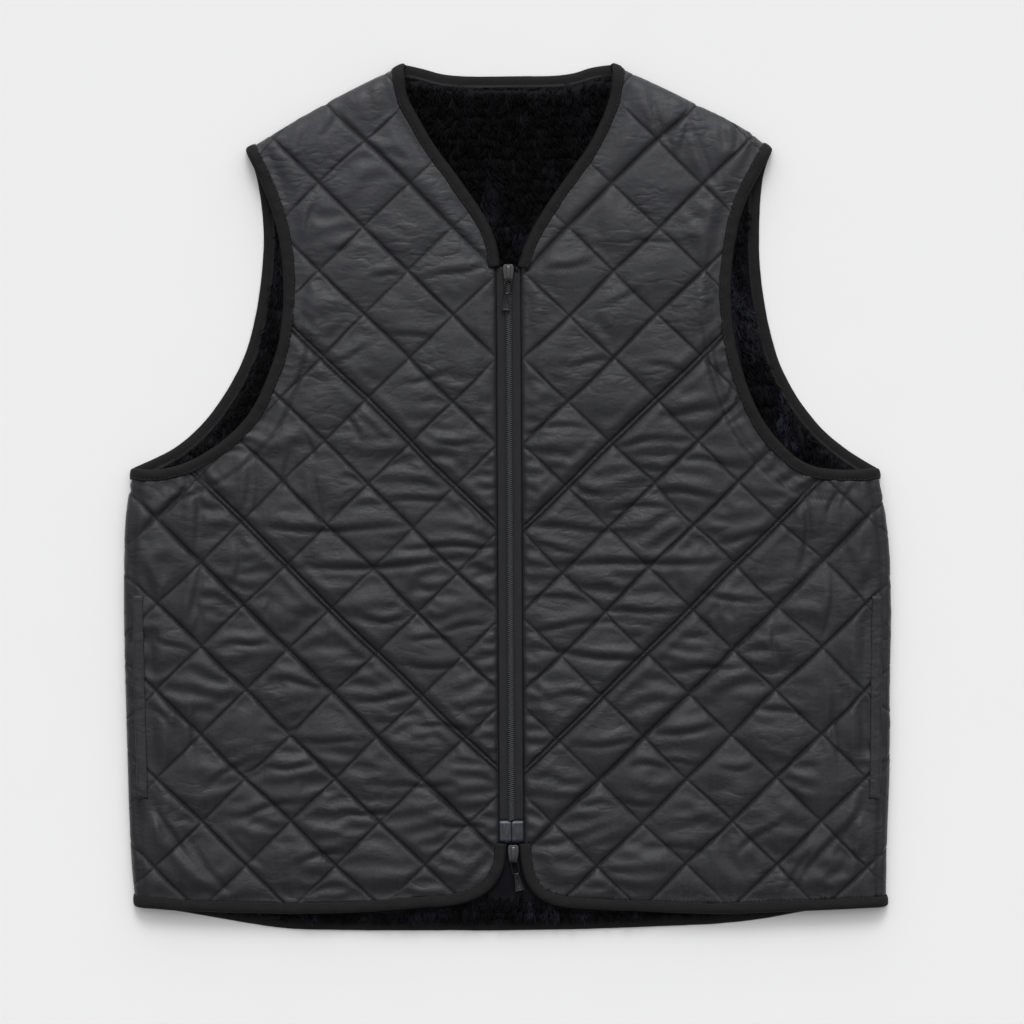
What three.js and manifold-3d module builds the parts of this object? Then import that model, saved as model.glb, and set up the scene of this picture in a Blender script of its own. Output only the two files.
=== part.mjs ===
// A sleeveless quilted vest with a fur lining, laid flat on its back with the zip closed.
// Millimetres. The floor is z = 0, +Y runs from the hem to the neck and +Z points up.
// "left" and "right" are as seen from above, with the neck away from the viewer.
// The layers from the floor up: back shell, fur lining, front panels, zip.
// The fronts roll over at the sides and shoulders and come down to the back shell there.
import * as THREE from "three";
import { mergeVertices } from "three/addons/utils/BufferGeometryUtils.js";
import Module from "manifold-3d";

const wasm = await Module();
wasm.setup();

// ---- Driving dimensions ----

const GAP = 0.3; // between two pieces that touch
const SHELL_WALL = 3; // quilted cloth where a seam presses it down
const PUFF_HEIGHT = 4.2; // rise of the wadding between two seams
const PILE_DEPTH = 6.7; // fur lining, lying down
const LINING_INSET = 9; // lining edge from the outline, clear of the bindings
const BINDING_WIDTH = 8.5;
const FRONT_BINDING_HEIGHT = 4.4;
const BINDING_STEP = 14; // between two sections of a binding
const OUTLINE_STEP = 17; // between two points of a fold line

const LINING_BOTTOM = SHELL_WALL + GAP;
const LINING_TOP = LINING_BOTTOM + PILE_DEPTH;
const FRONT_LEVEL = LINING_TOP + GAP; // underside of the front panels
const ROLL_INSIDE = FRONT_LEVEL - LINING_BOTTOM; // radius of the fold on its inner face
const ROLL_OUTSIDE = ROLL_INSIDE + SHELL_WALL; // and on its outer face
const BENDS = [ROLL_OUTSIDE / 3, (2 * ROLL_OUTSIDE) / 3, ROLL_OUTSIDE]; // where a fold is creased
const BEND_SNAP = 0.2; // a point this near a bend line lies on it
const CLEAR = 40; // past the top or bottom of any piece that a prism cuts

// The zip runs a little right of the middle and leans by a few millimetres over its length.
const ZIP = {
  x: 1.6,
  lean: 0.0055, // radians, top towards the left
  halfWidth: 9.4, // from its axis to a front panel
  top: 172,
  bottom: -257.2,
  hemTop: -258, // the hem bindings start just below the zip
  filmTop: -240.8,
  tape: 0.8,
  coilWidth: 2.3,
  coilHeight: 1.6,
  chainTop: 160.2,
};
const SLIDER = { length: 13, shoulder: 8.2, tail: 6, height: 2.8, bevel: 0.4 };
const RAIL = { width: 2.6, height: 3, thickness: 1.2, room: 1.8 };
const LINK = { length: 11.5, inner: 4, wire: 1 };
const TAB = { length: 12.6, top: 3.2, bottom: 7, thickness: 1.4, knuckle: 1.25, bore: 0.85 };

// Quilting: one family of seams falls outward from the quilting axis and the other rises.
const QUILT = {
  axis: 2.6,
  slope: 0.973, // tangent of the seams' angle
  fallStart: 47.6,
  fallPitch: 64.9, // between two seams, measured along the axis
  riseStart: -153.5,
  risePitch: 62.63,
  ease: -5.3, // how far the rising seams draw together at mid-chest
  easePeriod: 10, // in seams
  falls: { from: -6, to: 8 },
  rises: { from: -8, to: 8 },
  cells: [0, 0.2, 0.5, 0.8], // where a diamond's side is divided
  crown: 0.7, // below 1 for a fuller pillow
  bowl: 0.02,
};

// How much of the puff is left next to a seam or a fold, and how far its fall-off reaches.
const FADE = {
  bound: { least: 0.15, from: 4, reach: 15 },
  folded: { least: 0.35, from: 0, reach: 16 },
  welted: { least: 0, from: 22, reach: 14 },
};

const LEFT = { name: "left", sign: -1 };
const RIGHT = { name: "right", sign: 1 };

// ---- Outlines: distances from the middle line, for each side ----

const SHOULDER = [
  { y: 258.7, left: 195.5, right: 197.5 },
  { y: 275.6, left: 167.6, right: 175.6 },
  { y: 298, left: 128.5, right: 131.5 },
  { y: 323.5, left: 77.5, right: 78.5 },
];
const SIDE_SEAM = [
  { y: -305.2, left: 277.4, right: 282.8 },
  { y: -260, left: 281.4, right: 283.2 },
  { y: -205, left: 283.6, right: 285.2 },
  { y: -145, left: 285.2, right: 285.6 },
  { y: -85, left: 286.4, right: 286.4 },
  { y: -40, left: 286, right: 285.2 },
  { y: -5, left: 283.8, right: 280.6 },
  { y: 22.1, left: 279.4, right: 275.8 },
];
const FRONT_ARMHOLE = [
  { y: 22.1, left: 279.4, right: 275.8 },
  { y: 20.6, left: 262, right: 247 },
  { y: 25.8, left: 240, right: 222 },
  { y: 40, left: 215.5, right: 204.3 },
  { y: 62, left: 193, right: 188 },
  { y: 90, left: 179, right: 176.5 },
  { y: 120, left: 169.8, right: 169.3 },
  { y: 155, left: 167.1, right: 166.7 },
  { y: 190, left: 169.8, right: 169.6 },
  { y: 222, left: 178.6, right: 178.4 },
  { y: 258.7, left: 195.5, right: 197.5 },
];
const BACK_ARMHOLE = [
  { y: 22.1, left: 279.4, right: 275.8 },
  { y: 37, left: 249, right: 252 },
  { y: 58, left: 225.4, right: 229 },
  { y: 88, left: 205, right: 209 },
  { y: 118, left: 192.4, right: 197.8 },
  { y: 160, left: 184.4, right: 190 },
  { y: 201, left: 182.4, right: 188 },
  { y: 238, left: 187.2, right: 190.8 },
  { y: 258.7, left: 195.5, right: 197.5 },
];
const FRONT_NECK = [
  { y: 323.5, left: 77.5, right: 78.5 },
  { y: 300, left: 74.8, right: 76.2 },
  { y: 283, left: 66.3, right: 70.4 },
  { y: 263, left: 54.6, right: 60.5 },
  { y: 243, left: 39.9, right: 46.6 },
  { y: 222, left: 25, right: 31.8 },
  { y: 203, left: 13.2, right: 19.9 },
  { y: 188, left: 7.7, right: 12.5 },
  { y: 172, left: 5.4, right: 7.2 },
];

// ---- Edges that run across: heights at a distance from the middle line ----

const BACK_NECK = [
  { x: 63, left: 320.2, right: 321.4 },
  { x: 48, left: 316.2, right: 316.8 },
  { x: 30, left: 314.7, right: 315.1 },
  { x: 0, left: 314.9, right: 314.9 },
];
const BACK_HEM = [
  { x: 0, left: -323.5, right: -323.5 },
  { x: 60, left: -323.5, right: -322.4 },
  { x: 120, left: -323.3, right: -320.3 },
  { x: 165, left: -322, right: -317.8 },
  { x: 200, left: -317, right: -313.2 },
  { x: 232, left: -311.4, right: -307.6 },
  { x: 262, left: -307, right: -306 },
];
const FRONT_HEM = [
  { x: 62, left: -305.6, right: -306.8 },
  { x: 100, left: -308.6, right: -308.4 },
  { x: 160, left: -310.2, right: -310.2 },
  { x: 240, left: -308, right: -307.2 },
];

// The rounded hem corner at the zip, as the handles of a Bezier curve.
const HEM_CORNER = {
  left: { zip: 0.5, down: { x: 0.5, y: -294 }, along: { x: 22, y: -305 } },
  right: { zip: 8.9, down: { x: 9.5, y: -297 }, along: { x: 24, y: -306.5 } },
};

// The deepest creases in the fronts: where, how long and wide, turned how far, how deep.
const CREASES = [
  { x: -117, y: -20, reach: 38, width: 7, turn: -2, depth: 2.4 },
  { x: -96, y: -50, reach: 54, width: 7, turn: -3, depth: 2.6 },
  { x: -43, y: -36, reach: 32, width: 6, turn: 0, depth: 2 },
  { x: -232, y: -32, reach: 45, width: 7, turn: 88, depth: 2.6 },
  { x: -198, y: -47, reach: 24, width: 6, turn: 86, depth: 2 },
  { x: -193, y: 14, reach: 26, width: 6, turn: 88, depth: 2 },
  { x: 99, y: -51, reach: 58, width: 7, turn: 3, depth: 2.6 },
  { x: 131, y: 3, reach: 24, width: 7, turn: 2, depth: 2.2 },
  { x: 62, y: -116, reach: 36, width: 6, turn: -6, depth: 2 },
  { x: 101, y: -85, reach: 30, width: 6, turn: 3, depth: 2 },
  { x: 221, y: -4, reach: 26, width: 6, turn: 80, depth: 2 },
];

// A pocket mouth lies beside each side seam.
const WELT = { top: -72, bottom: -212, inset: 5.5, width: 8, thickness: 1.3, rows: 15, columns: 4 };

const FINISH = {
  quilted_shell: { color: 0x454649, roughness: 0.55, metalness: 0 },
  fur: { color: 0x101114, roughness: 0.95, metalness: 0 },
  edge_binding: { color: 0x2e2f2d, roughness: 0.8, metalness: 0 },
  zip_tape: { color: 0x303236, roughness: 0.85, metalness: 0 },
  zip_coil: { color: 0x3a3c40, roughness: 0.5, metalness: 0 },
  zip_film: { color: 0x56606c, roughness: 0.25, metalness: 0 },
  zip_metal: { color: 0x4c4d50, roughness: 0.4, metalness: 0.8 },
};

// ---- Solids and meshes ----

function toSolid(geometry) {
  const bare = new THREE.BufferGeometry();
  bare.setAttribute("position", geometry.getAttribute("position"));
  bare.setIndex(geometry.index);
  const merged = mergeVertices(bare, 1e-4);
  return new wasm.Manifold(
    new wasm.Mesh({
      numProp: 3,
      vertProperties: merged.getAttribute("position").array,
      triVerts: new Uint32Array(merged.index.array),
    }),
  );
}

function toGeometry(solid) {
  const { vertProperties, triVerts } = solid.getMesh();
  const geometry = new THREE.BufferGeometry();
  geometry.setAttribute("position", new THREE.BufferAttribute(vertProperties, 3));
  geometry.setIndex(new THREE.BufferAttribute(triVerts, 1));
  return geometry;
}

function named(name, finish, geometry) {
  const mesh = new THREE.Mesh(geometry, new THREE.MeshStandardMaterial(FINISH[finish]));
  mesh.name = name;
  return mesh;
}

// An upright solid over a plan, from `low` to `high`.
function prism(plan, low, high) {
  const options = { depth: high - low, bevelEnabled: false };
  const geometry = new THREE.ExtrudeGeometry(new THREE.Shape(plan), options);
  return toSolid(geometry.translate(0, 0, low));
}

// A closed body between two grids of points, walled round its border.
function gridBody(columns, rows, upper, lower, mirrored) {
  const position = [];
  for (const layer of [upper, lower]) {
    for (let row = 0; row < rows; row += 1) {
      for (let column = 0; column < columns; column += 1) {
        position.push(...layer(column, row));
      }
    }
  }
  const top = (column, row) => row * columns + column;
  const base = (column, row) => columns * rows + top(column, row);
  const index = [];
  const quad = (a, b, c, d) => {
    index.push(...(mirrored ? [a, c, b, a, d, c] : [a, b, c, a, c, d]));
  };
  for (let j = 0; j + 1 < rows; j += 1) {
    for (let i = 0; i + 1 < columns; i += 1) {
      quad(top(i, j), top(i + 1, j), top(i + 1, j + 1), top(i, j + 1));
      quad(base(i, j), base(i, j + 1), base(i + 1, j + 1), base(i + 1, j));
    }
  }
  const lastRow = rows - 1;
  for (let i = 0; i + 1 < columns; i += 1) {
    quad(base(i, 0), base(i + 1, 0), top(i + 1, 0), top(i, 0));
    quad(base(i + 1, lastRow), base(i, lastRow), top(i, lastRow), top(i + 1, lastRow));
  }
  const lastColumn = columns - 1;
  for (let j = 0; j + 1 < rows; j += 1) {
    quad(base(0, j + 1), base(0, j), top(0, j), top(0, j + 1));
    quad(base(lastColumn, j), base(lastColumn, j + 1), top(lastColumn, j + 1), top(lastColumn, j));
  }
  return indexed(position, index);
}

// A closed body through rings of equal count, each a plan at one height, the lowest first.
function ringBody(rings) {
  const count = rings[0].plan.length;
  const position = rings.flatMap(({ plan, z }) => plan.flatMap((point) => [point.x, point.y, z]));
  const index = [];
  for (let level = 0; level + 1 < rings.length; level += 1) {
    for (let i = 0; i < count; i += 1) {
      const a = level * count + i;
      const b = level * count + ((i + 1) % count);
      index.push(a, b, b + count, a, b + count, a + count);
    }
  }
  for (const [a, b, c] of THREE.ShapeUtils.triangulateShape(rings[0].plan, [])) {
    index.push(c, b, a);
  }
  const top = (rings.length - 1) * count;
  for (const [a, b, c] of THREE.ShapeUtils.triangulateShape(rings.at(-1).plan, [])) {
    index.push(top + a, top + b, top + c);
  }
  return indexed(position, index);
}

function indexed(position, index) {
  const geometry = new THREE.BufferGeometry();
  geometry.setAttribute("position", new THREE.Float32BufferAttribute(position, 3));
  geometry.setIndex(index);
  return geometry;
}

// ---- Paths in the plan ----

const point = (side, distance, y) => new THREE.Vector2(side.sign * distance, y);
const downRows = (side, rows) => rows.map((row) => point(side, row[side.name], row.y));
const acrossRows = (side, rows) => rows.map((row) => point(side, row.x, row[side.name]));
const spread = (from, to, step) => {
  const count = Math.max(1, Math.round((to - from) / step));
  return Array.from({ length: count + 1 }, (_, i) => from + ((to - from) * i) / count);
};

// Points along a smooth curve, evenly spaced.
function smooth(points, step) {
  const curve = new THREE.SplineCurve(points);
  return spread(0, 1, step / curve.getLength()).map((share) => curve.getPointAt(share));
}

// Unit normals of a path, to its left for turn 1 and to its right for turn -1.
function normals(path, turn) {
  return path.map((_, i) => {
    const before = path[Math.max(i - 1, 0)];
    const after = path[Math.min(i + 1, path.length - 1)];
    const along = after.clone().sub(before).normalize();
    return new THREE.Vector2(-along.y * turn, along.x * turn);
  });
}

// A path run on in a straight line past either end.
function runOn(path, before, after) {
  const [first, second] = path;
  const last = path.at(-1);
  const start = first.clone().addScaledVector(first.clone().sub(second).normalize(), before);
  const end = last.clone().addScaledVector(last.clone().sub(path.at(-2)).normalize(), after);
  return [...(before > 0 ? [start] : []), ...path, ...(after > 0 ? [end] : [])];
}

// The plan of the band beside a path, from `near` to `far` on the garment's side.
function band(path, turn, near, far) {
  const side = normals(path, turn);
  const shifted = (distance) => path.map((p, i) => p.clone().addScaledVector(side[i], distance));
  return [...shifted(near), ...shifted(far).reverse()];
}

// A closed plan moved inwards, its corners mitred. The plan runs anticlockwise.
function inset(plan, distance) {
  return plan.map((p, i) => {
    const before = p.clone().sub(plan.at(i - 1)).normalize();
    const after = plan[(i + 1) % plan.length].clone().sub(p).normalize();
    const mitre = new THREE.Vector2(-before.y - after.y, before.x + after.x);
    return p.clone().addScaledVector(mitre, distance / (1 + before.dot(after)));
  });
}

// The nearest place on a path whose end stretches run on, and how far it is on the inside.
function nearest(path, turn, p) {
  let best = { length: Infinity };
  for (let i = 0; i + 1 < path.length; i += 1) {
    const along = path[i + 1].clone().sub(path[i]);
    const low = i === 0 ? -Infinity : 0;
    const high = i + 2 === path.length ? Infinity : 1;
    const share = p.clone().sub(path[i]).dot(along) / along.lengthSq();
    const foot = path[i].clone().addScaledVector(along, Math.min(high, Math.max(low, share)));
    const away = p.clone().sub(foot);
    if (away.length() < best.length) {
      const inward = new THREE.Vector2(-along.y * turn, along.x * turn).normalize();
      best = { foot, length: away.length(), distance: away.dot(inward), inward };
    }
  }
  return best;
}

const distanceTo = (path, p) => nearest(path, 1, p).length;

// ---- The edges of one half ----

const zipAxis = (y) => ZIP.x - ZIP.lean * y;
const zipEdge = (side, y) => new THREE.Vector2(zipAxis(y) + side.sign * ZIP.halfWidth, y);

function hemCorner(side) {
  const shape = HEM_CORNER[side.name];
  return new THREE.CubicBezierCurve(
    point(side, shape.zip, ZIP.hemTop),
    point(side, shape.down.x, shape.down.y),
    point(side, shape.along.x, shape.along.y),
    acrossRows(side, FRONT_HEM)[0],
  );
}

// Every path runs anticlockwise round the right half, and is mirrored on the left.
function edgesOf(side) {
  const corner = hemCorner(side).getPoints(6).slice(0, -1);
  const frontHem = [...corner, ...acrossRows(side, FRONT_HEM), ...downRows(side, SIDE_SEAM).slice(0, 1)];
  return {
    side,
    turn: side.sign,
    sideFold: smooth(downRows(side, SIDE_SEAM), OUTLINE_STEP),
    shoulderFold: smooth(downRows(side, SHOULDER), OUTLINE_STEP),
    frontHem: smooth(frontHem, BINDING_STEP),
    frontArmhole: smooth(downRows(side, FRONT_ARMHOLE), BINDING_STEP),
    frontNeck: smooth(downRows(side, FRONT_NECK), BINDING_STEP),
    backArmhole: smooth(downRows(side, BACK_ARMHOLE), BINDING_STEP),
  };
}

const HALVES = [edgesOf(LEFT), edgesOf(RIGHT)];
const [LEFT_HALF, RIGHT_HALF] = HALVES;

const bothWays = (rows) => [
  ...acrossRows(LEFT, rows).reverse(),
  ...acrossRows(RIGHT, rows).slice(rows[0].x === 0 ? 1 : 0),
];
const backHemPath = smooth(
  [LEFT_HALF.sideFold[0], ...bothWays(BACK_HEM), RIGHT_HALF.sideFold[0]],
  BINDING_STEP,
);
const backNeckPath = smooth(
  [
    RIGHT_HALF.frontNeck[0],
    ...acrossRows(RIGHT, BACK_NECK),
    ...acrossRows(LEFT, BACK_NECK).slice(0, -1).reverse(),
    LEFT_HALF.frontNeck[0],
  ],
  BINDING_STEP,
);

function frontPlan(half) {
  return [
    ...half.frontHem,
    ...half.sideFold.slice(1),
    ...half.frontArmhole.slice(1),
    ...half.shoulderFold.slice(1),
    ...half.frontNeck.slice(1),
    zipEdge(half.side, ZIP.top),
    zipEdge(half.side, ZIP.hemTop),
  ];
}

function backPlan() {
  const up = (half) => [
    ...half.sideFold.slice(1),
    ...half.backArmhole.slice(1),
    ...half.shoulderFold.slice(1),
  ];
  return [
    ...backHemPath,
    ...up(RIGHT_HALF),
    ...backNeckPath.slice(1),
    ...up(LEFT_HALF).reverse().slice(1),
  ];
}

// ---- How the fronts lie ----

// The fold nearest to a point: the side or the shoulder.
function nearestFold(half, p) {
  const folds = [half.sideFold, half.shoulderFold].map((path) => nearest(path, half.turn, p));
  return folds[0].length < folds[1].length ? folds[0] : folds[1];
}

// Takes a point of the flat pattern, `height` above its inner face, to its place. Near a side
// or shoulder the cloth turns down through a quarter circle to the back shell.
function drape(half, p, height) {
  const fold = nearestFold(half, p);
  if (fold.distance >= ROLL_OUTSIDE) {
    return [p.x, p.y, FRONT_LEVEL + height];
  }
  const angle = (Math.PI / 2) * Math.max(0, fold.distance / ROLL_OUTSIDE);
  const radius = ROLL_INSIDE + height;
  const place = fold.foot.addScaledVector(fold.inward, ROLL_OUTSIDE - radius * Math.cos(angle));
  return [place.x, place.y, LINING_BOTTOM + radius * Math.sin(angle)];
}

// Cuts a mesh's triangles along the line where the distance to the nearest fold is `bend`,
// so that the mesh can turn there.
function scored(half, position, index, bend) {
  const past = [];
  for (let i = 0; i < position.length; i += 3) {
    const p = new THREE.Vector2(position[i], position[i + 1]);
    const distance = nearestFold(half, p).distance - bend;
    past.push(Math.abs(distance) < BEND_SNAP ? 0 : distance);
  }
  const made = new Map();
  const crossing = (a, b) => {
    const key = Math.min(a, b) + "," + Math.max(a, b);
    if (!made.has(key)) {
      const share = past[a] / (past[a] - past[b]);
      for (let k = 0; k < 3; k += 1) {
        position.push(THREE.MathUtils.lerp(position[3 * a + k], position[3 * b + k], share));
      }
      made.set(key, position.length / 3 - 1);
    }
    return made.get(key);
  };
  const cut = [];
  for (let t = 0; t < index.length; t += 3) {
    const corners = index.slice(t, t + 3);
    const signs = corners.map((corner) => Math.sign(past[corner]));
    if (!signs.includes(1) || !signs.includes(-1)) {
      cut.push(...corners);
      continue;
    }
    // Turn the triangle so that its first corner lies on the line, or else alone on its side.
    const onLine = signs.indexOf(0);
    const alone = signs.indexOf(-Math.sign(signs[0] + signs[1] + signs[2]));
    const first = onLine >= 0 ? onLine : alone;
    const [a, b, c] = [0, 1, 2].map((step) => corners[(first + step) % 3]);
    if (onLine >= 0) {
      const middle = crossing(b, c);
      cut.push(a, b, middle, a, middle, c);
    } else {
      const ab = crossing(a, b);
      const ca = crossing(c, a);
      cut.push(a, ab, ca, ab, b, c, ab, c, ca);
    }
  }
  return cut;
}

// Lays a flat piece on the vest, with `heightAt` giving the height of each of its points.
function lay(half, solid, heightAt) {
  const { vertProperties, triVerts } = solid.getMesh();
  const position = Array.from(vertProperties);
  let index = Array.from(triVerts);
  for (const bend of BENDS) {
    index = scored(half, position, index, bend);
  }
  for (let i = 0; i < position.length; i += 3) {
    const p = new THREE.Vector2(position[i], position[i + 1]);
    [position[i], position[i + 1], position[i + 2]] = drape(half, p, heightAt(p, position[i + 2]));
  }
  return indexed(position, index);
}

// ---- Quilting ----

const seamHeight = (start, pitch, count) => start + pitch * count;
const risingSeam = (count) =>
  seamHeight(QUILT.riseStart, QUILT.risePitch, count) +
  QUILT.ease * Math.sin((2 * Math.PI * count) / QUILT.easePeriod);

function latticePoint(side, fall, rise) {
  const falling = seamHeight(QUILT.fallStart, QUILT.fallPitch, fall);
  const rising = risingSeam(rise);
  const away = (falling - rising) / (2 * QUILT.slope);
  return [QUILT.axis + side.sign * away, (falling + rising) / 2];
}

// A diamond's height at a place within it, both shares running from 0 to 1.
function pillow(fallShare, riseShare) {
  return (Math.sin(Math.PI * fallShare) * Math.sin(Math.PI * riseShare)) ** QUILT.crown;
}

const divisions = ({ from, to }, cells) => [
  ...spread(from, to - 1, 1).flatMap((diamond) => cells.map((share) => diamond + share)),
  to,
];

// A block on the quilting's lattice, larger than a panel, between two height functions.
function latticeBlock(side, cells, upperHeight, lowerHeight) {
  const falls = divisions(QUILT.falls, cells);
  const rises = divisions(QUILT.rises, cells);
  const layer = (height) => (i, j) => [
    ...latticePoint(side, falls[i], rises[j]),
    height(falls[i], rises[j]),
  ];
  const [upper, lower] = [layer(upperHeight), layer(lowerHeight)];
  return toSolid(gridBody(falls.length, rises.length, upper, lower, side === LEFT));
}

// The panel's puffs from above and its inner face from below. The inner face starts as a
// shallow bowl of whole diamonds, so that its facets stay apart, and is laid plain.
function quiltedBlock(side) {
  const part = (value) => value - Math.floor(value);
  const raised = (fall, rise) => SHELL_WALL + PUFF_HEIGHT * pillow(part(fall), part(rise));
  const bowl = (fall, rise) => -QUILT.bowl * (fall ** 2 + rise ** 2);
  const puffs = latticeBlock(side, QUILT.cells, raised, () => -CLEAR);
  const inner = latticeBlock(side, [0], () => CLEAR, bowl);
  return puffs.intersect(inner);
}

const fade = ({ least, from, reach }, distance) =>
  THREE.MathUtils.lerp(least, 1, THREE.MathUtils.smoothstep(distance, from, from + reach));

// The share of a puff's rise that is left at a point of a front panel.
function puffShare(half, p) {
  const { frontHem, frontArmhole, frontNeck, sideFold, shoulderFold } = half;
  const zip = [zipEdge(half.side, ZIP.top), zipEdge(half.side, ZIP.bottom)];
  const bound = [frontHem, frontArmhole, frontNeck].map((path) => distanceTo(path, p) - BINDING_WIDTH);
  const atBound = Math.min(...bound, distanceTo(zip, p));
  const atFold = Math.min(distanceTo(sideFold, p), distanceTo(shoulderFold, p));
  const middle = (WELT.top + WELT.bottom) / 2;
  const pastWelt = Math.abs(p.y - middle) - (WELT.top - WELT.bottom) / 2;
  const atWelt = Math.hypot(distanceTo(sideFold, p), Math.max(0, pastWelt));
  return fade(FADE.bound, atBound) * fade(FADE.folded, atFold) * fade(FADE.welted, atWelt);
}

// How deep the creases are at a point.
function creaseDepth(p) {
  const depths = CREASES.map((crease) => {
    const middle = new THREE.Vector2(crease.x, crease.y);
    const local = p.clone().rotateAround(middle, -THREE.MathUtils.degToRad(crease.turn)).sub(middle);
    return crease.depth * Math.exp(-((local.x / crease.reach) ** 4) - (local.y / crease.width) ** 2);
  });
  return Math.max(...depths);
}

// The height of a point of a quilted panel above its plain inner face.
function quiltHeight(half, p, raised) {
  if (raised <= SHELL_WALL) {
    return Math.max(0, raised);
  }
  const puff = (raised - SHELL_WALL) * puffShare(half, p);
  return SHELL_WALL + Math.max(0, puff - creaseDepth(p));
}

function frontPanel(half) {
  const cut = (path, before, after) =>
    prism(band(runOn(path, before, after), half.turn, -BINDING_STEP, BINDING_WIDTH + GAP), -CLEAR, CLEAR);
  const flat = quiltedBlock(half.side)
    .intersect(prism(frontPlan(half), -CLEAR, CLEAR))
    .subtract(cut(half.frontHem, 0, BINDING_STEP))
    .subtract(cut(half.frontArmhole, BINDING_STEP, BINDING_STEP))
    .subtract(cut(half.frontNeck, BINDING_STEP, GAP));
  return lay(half, flat, (p, raised) => quiltHeight(half, p, raised));
}

// ---- Bindings ----

// A folded strip's section: flat below, domed above, as places across its width.
function domedSection(width, height, count) {
  return Array.from({ length: count }, (_, i) => {
    const angle = (Math.PI * i) / (count - 1);
    const up = height * Math.sin(angle) ** 0.6;
    return { across: (width / 2) * (1 - Math.cos(angle)), up: Math.max(0, up) };
  });
}

// A section swept along a path, on the garment's side of it, closed at both ends.
function sweep(path, turn, section) {
  const side = normals(path, turn);
  const count = section.length;
  const position = path.flatMap((p, i) =>
    section.flatMap(({ across, up }) => {
      const place = p.clone().addScaledVector(side[i], across);
      return [place.x, place.y, up];
    }),
  );
  const index = [];
  const triangle = (a, b, c) => index.push(...(turn > 0 ? [a, b, c] : [a, c, b]));
  for (let step = 0; step + 1 < path.length; step += 1) {
    for (let k = 0; k < count; k += 1) {
      const a = step * count + k;
      const b = step * count + ((k + 1) % count);
      triangle(a, a + count, b + count);
      triangle(a, b + count, b);
    }
  }
  const last = (path.length - 1) * count;
  for (let k = 1; k + 1 < count; k += 1) {
    triangle(0, k, k + 1);
    triangle(last, last + k + 1, last + k);
  }
  return toSolid(indexed(position, index));
}

const FRONT_SECTION = domedSection(BINDING_WIDTH, FRONT_BINDING_HEIGHT, 6);
const BACK_SECTION = domedSection(BINDING_WIDTH, SHELL_WALL, 6);

function frontBinding(half, path, before, after) {
  const strip = sweep(runOn(path, before, after), half.turn, FRONT_SECTION);
  const trimmed = strip.intersect(prism(frontPlan(half), -CLEAR, CLEAR));
  return lay(half, trimmed, (_, height) => height);
}

function backBinding(path, turn) {
  const strip = sweep(runOn(path, BINDING_STEP, BINDING_STEP), turn, BACK_SECTION);
  return strip.intersect(prism(backPlan(), -CLEAR, CLEAR));
}

// ---- The back ----

const backEdges = [
  { name: "hem_binding_back", path: backHemPath, turn: 1 },
  { name: "neck_binding_back", path: backNeckPath, turn: 1 },
  { name: "armhole_binding_back_left", path: LEFT_HALF.backArmhole, turn: LEFT_HALF.turn },
  { name: "armhole_binding_back_right", path: RIGHT_HALF.backArmhole, turn: RIGHT_HALF.turn },
];

function backShell() {
  let shell = prism(backPlan(), 0, SHELL_WALL);
  for (const { path, turn } of backEdges) {
    const strip = band(runOn(path, BINDING_STEP, BINDING_STEP), turn, -BINDING_STEP, BINDING_WIDTH + GAP);
    shell = shell.subtract(prism(strip, -CLEAR, CLEAR));
  }
  return toGeometry(shell);
}

// Each binding gives way by a gap to the one it meets at a corner.
function backBindings() {
  const made = [];
  return backEdges.map(({ name, path, turn }) => {
    let strip = backBinding(path, turn);
    for (const earlier of made) {
      const room = band(runOn(earlier.path, BINDING_STEP, BINDING_STEP), earlier.turn, -GAP, BINDING_WIDTH + GAP);
      strip = strip.subtract(prism(room, -CLEAR, CLEAR));
    }
    made.push({ path, turn });
    return named(name, "edge_binding", toGeometry(strip));
  });
}

// The lining's pile is full over the middle and rounds down to its sewn edge.
function furLining() {
  const plan = backPlan();
  const rings = [
    { in: 0, z: LINING_BOTTOM },
    { in: 0.5, z: LINING_BOTTOM + PILE_DEPTH * 0.45 },
    { in: 1.8, z: LINING_BOTTOM + PILE_DEPTH * 0.85 },
    { in: 4.2, z: LINING_TOP },
  ];
  return ringBody(rings.map((ring) => ({ plan: inset(plan, LINING_INSET + ring.in), z: ring.z })));
}

// ---- Pockets ----

// A welt lies on the front panel's points beside the side fold, moved out by the gap.
function pocketWelt(half) {
  const heights = spread(WELT.bottom, WELT.top, (WELT.top - WELT.bottom) / (WELT.rows - 1));
  const onPanel = (lift) => (column, row) => {
    const across = WELT.inset + (WELT.width * column) / (WELT.columns - 1);
    const y = heights[row];
    const guess = new THREE.Vector2(half.side.sign * SIDE_SEAM[4][half.side.name], y);
    const { foot, inward } = nearest(half.sideFold, half.turn, guess);
    const place = foot.addScaledVector(inward, across);
    return drape(half, place, SHELL_WALL + GAP + lift);
  };
  return gridBody(WELT.columns, WELT.rows, onPanel(WELT.thickness), onPanel(0), half.side === RIGHT);
}

// ---- Zip ----

// A bar along Y from `bottom` to `top`, its plain section spread in X and Z.
function bar(section, bottom, top) {
  const geometry = new THREE.ExtrudeGeometry(new THREE.Shape(section), {
    depth: top - bottom,
    bevelEnabled: false,
  });
  return geometry.rotateX(Math.PI / 2).translate(0, top, 0);
}

function rectangle(left, right, low, high) {
  return [
    new THREE.Vector2(left, low),
    new THREE.Vector2(right, low),
    new THREE.Vector2(right, high),
    new THREE.Vector2(left, high),
  ];
}

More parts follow.
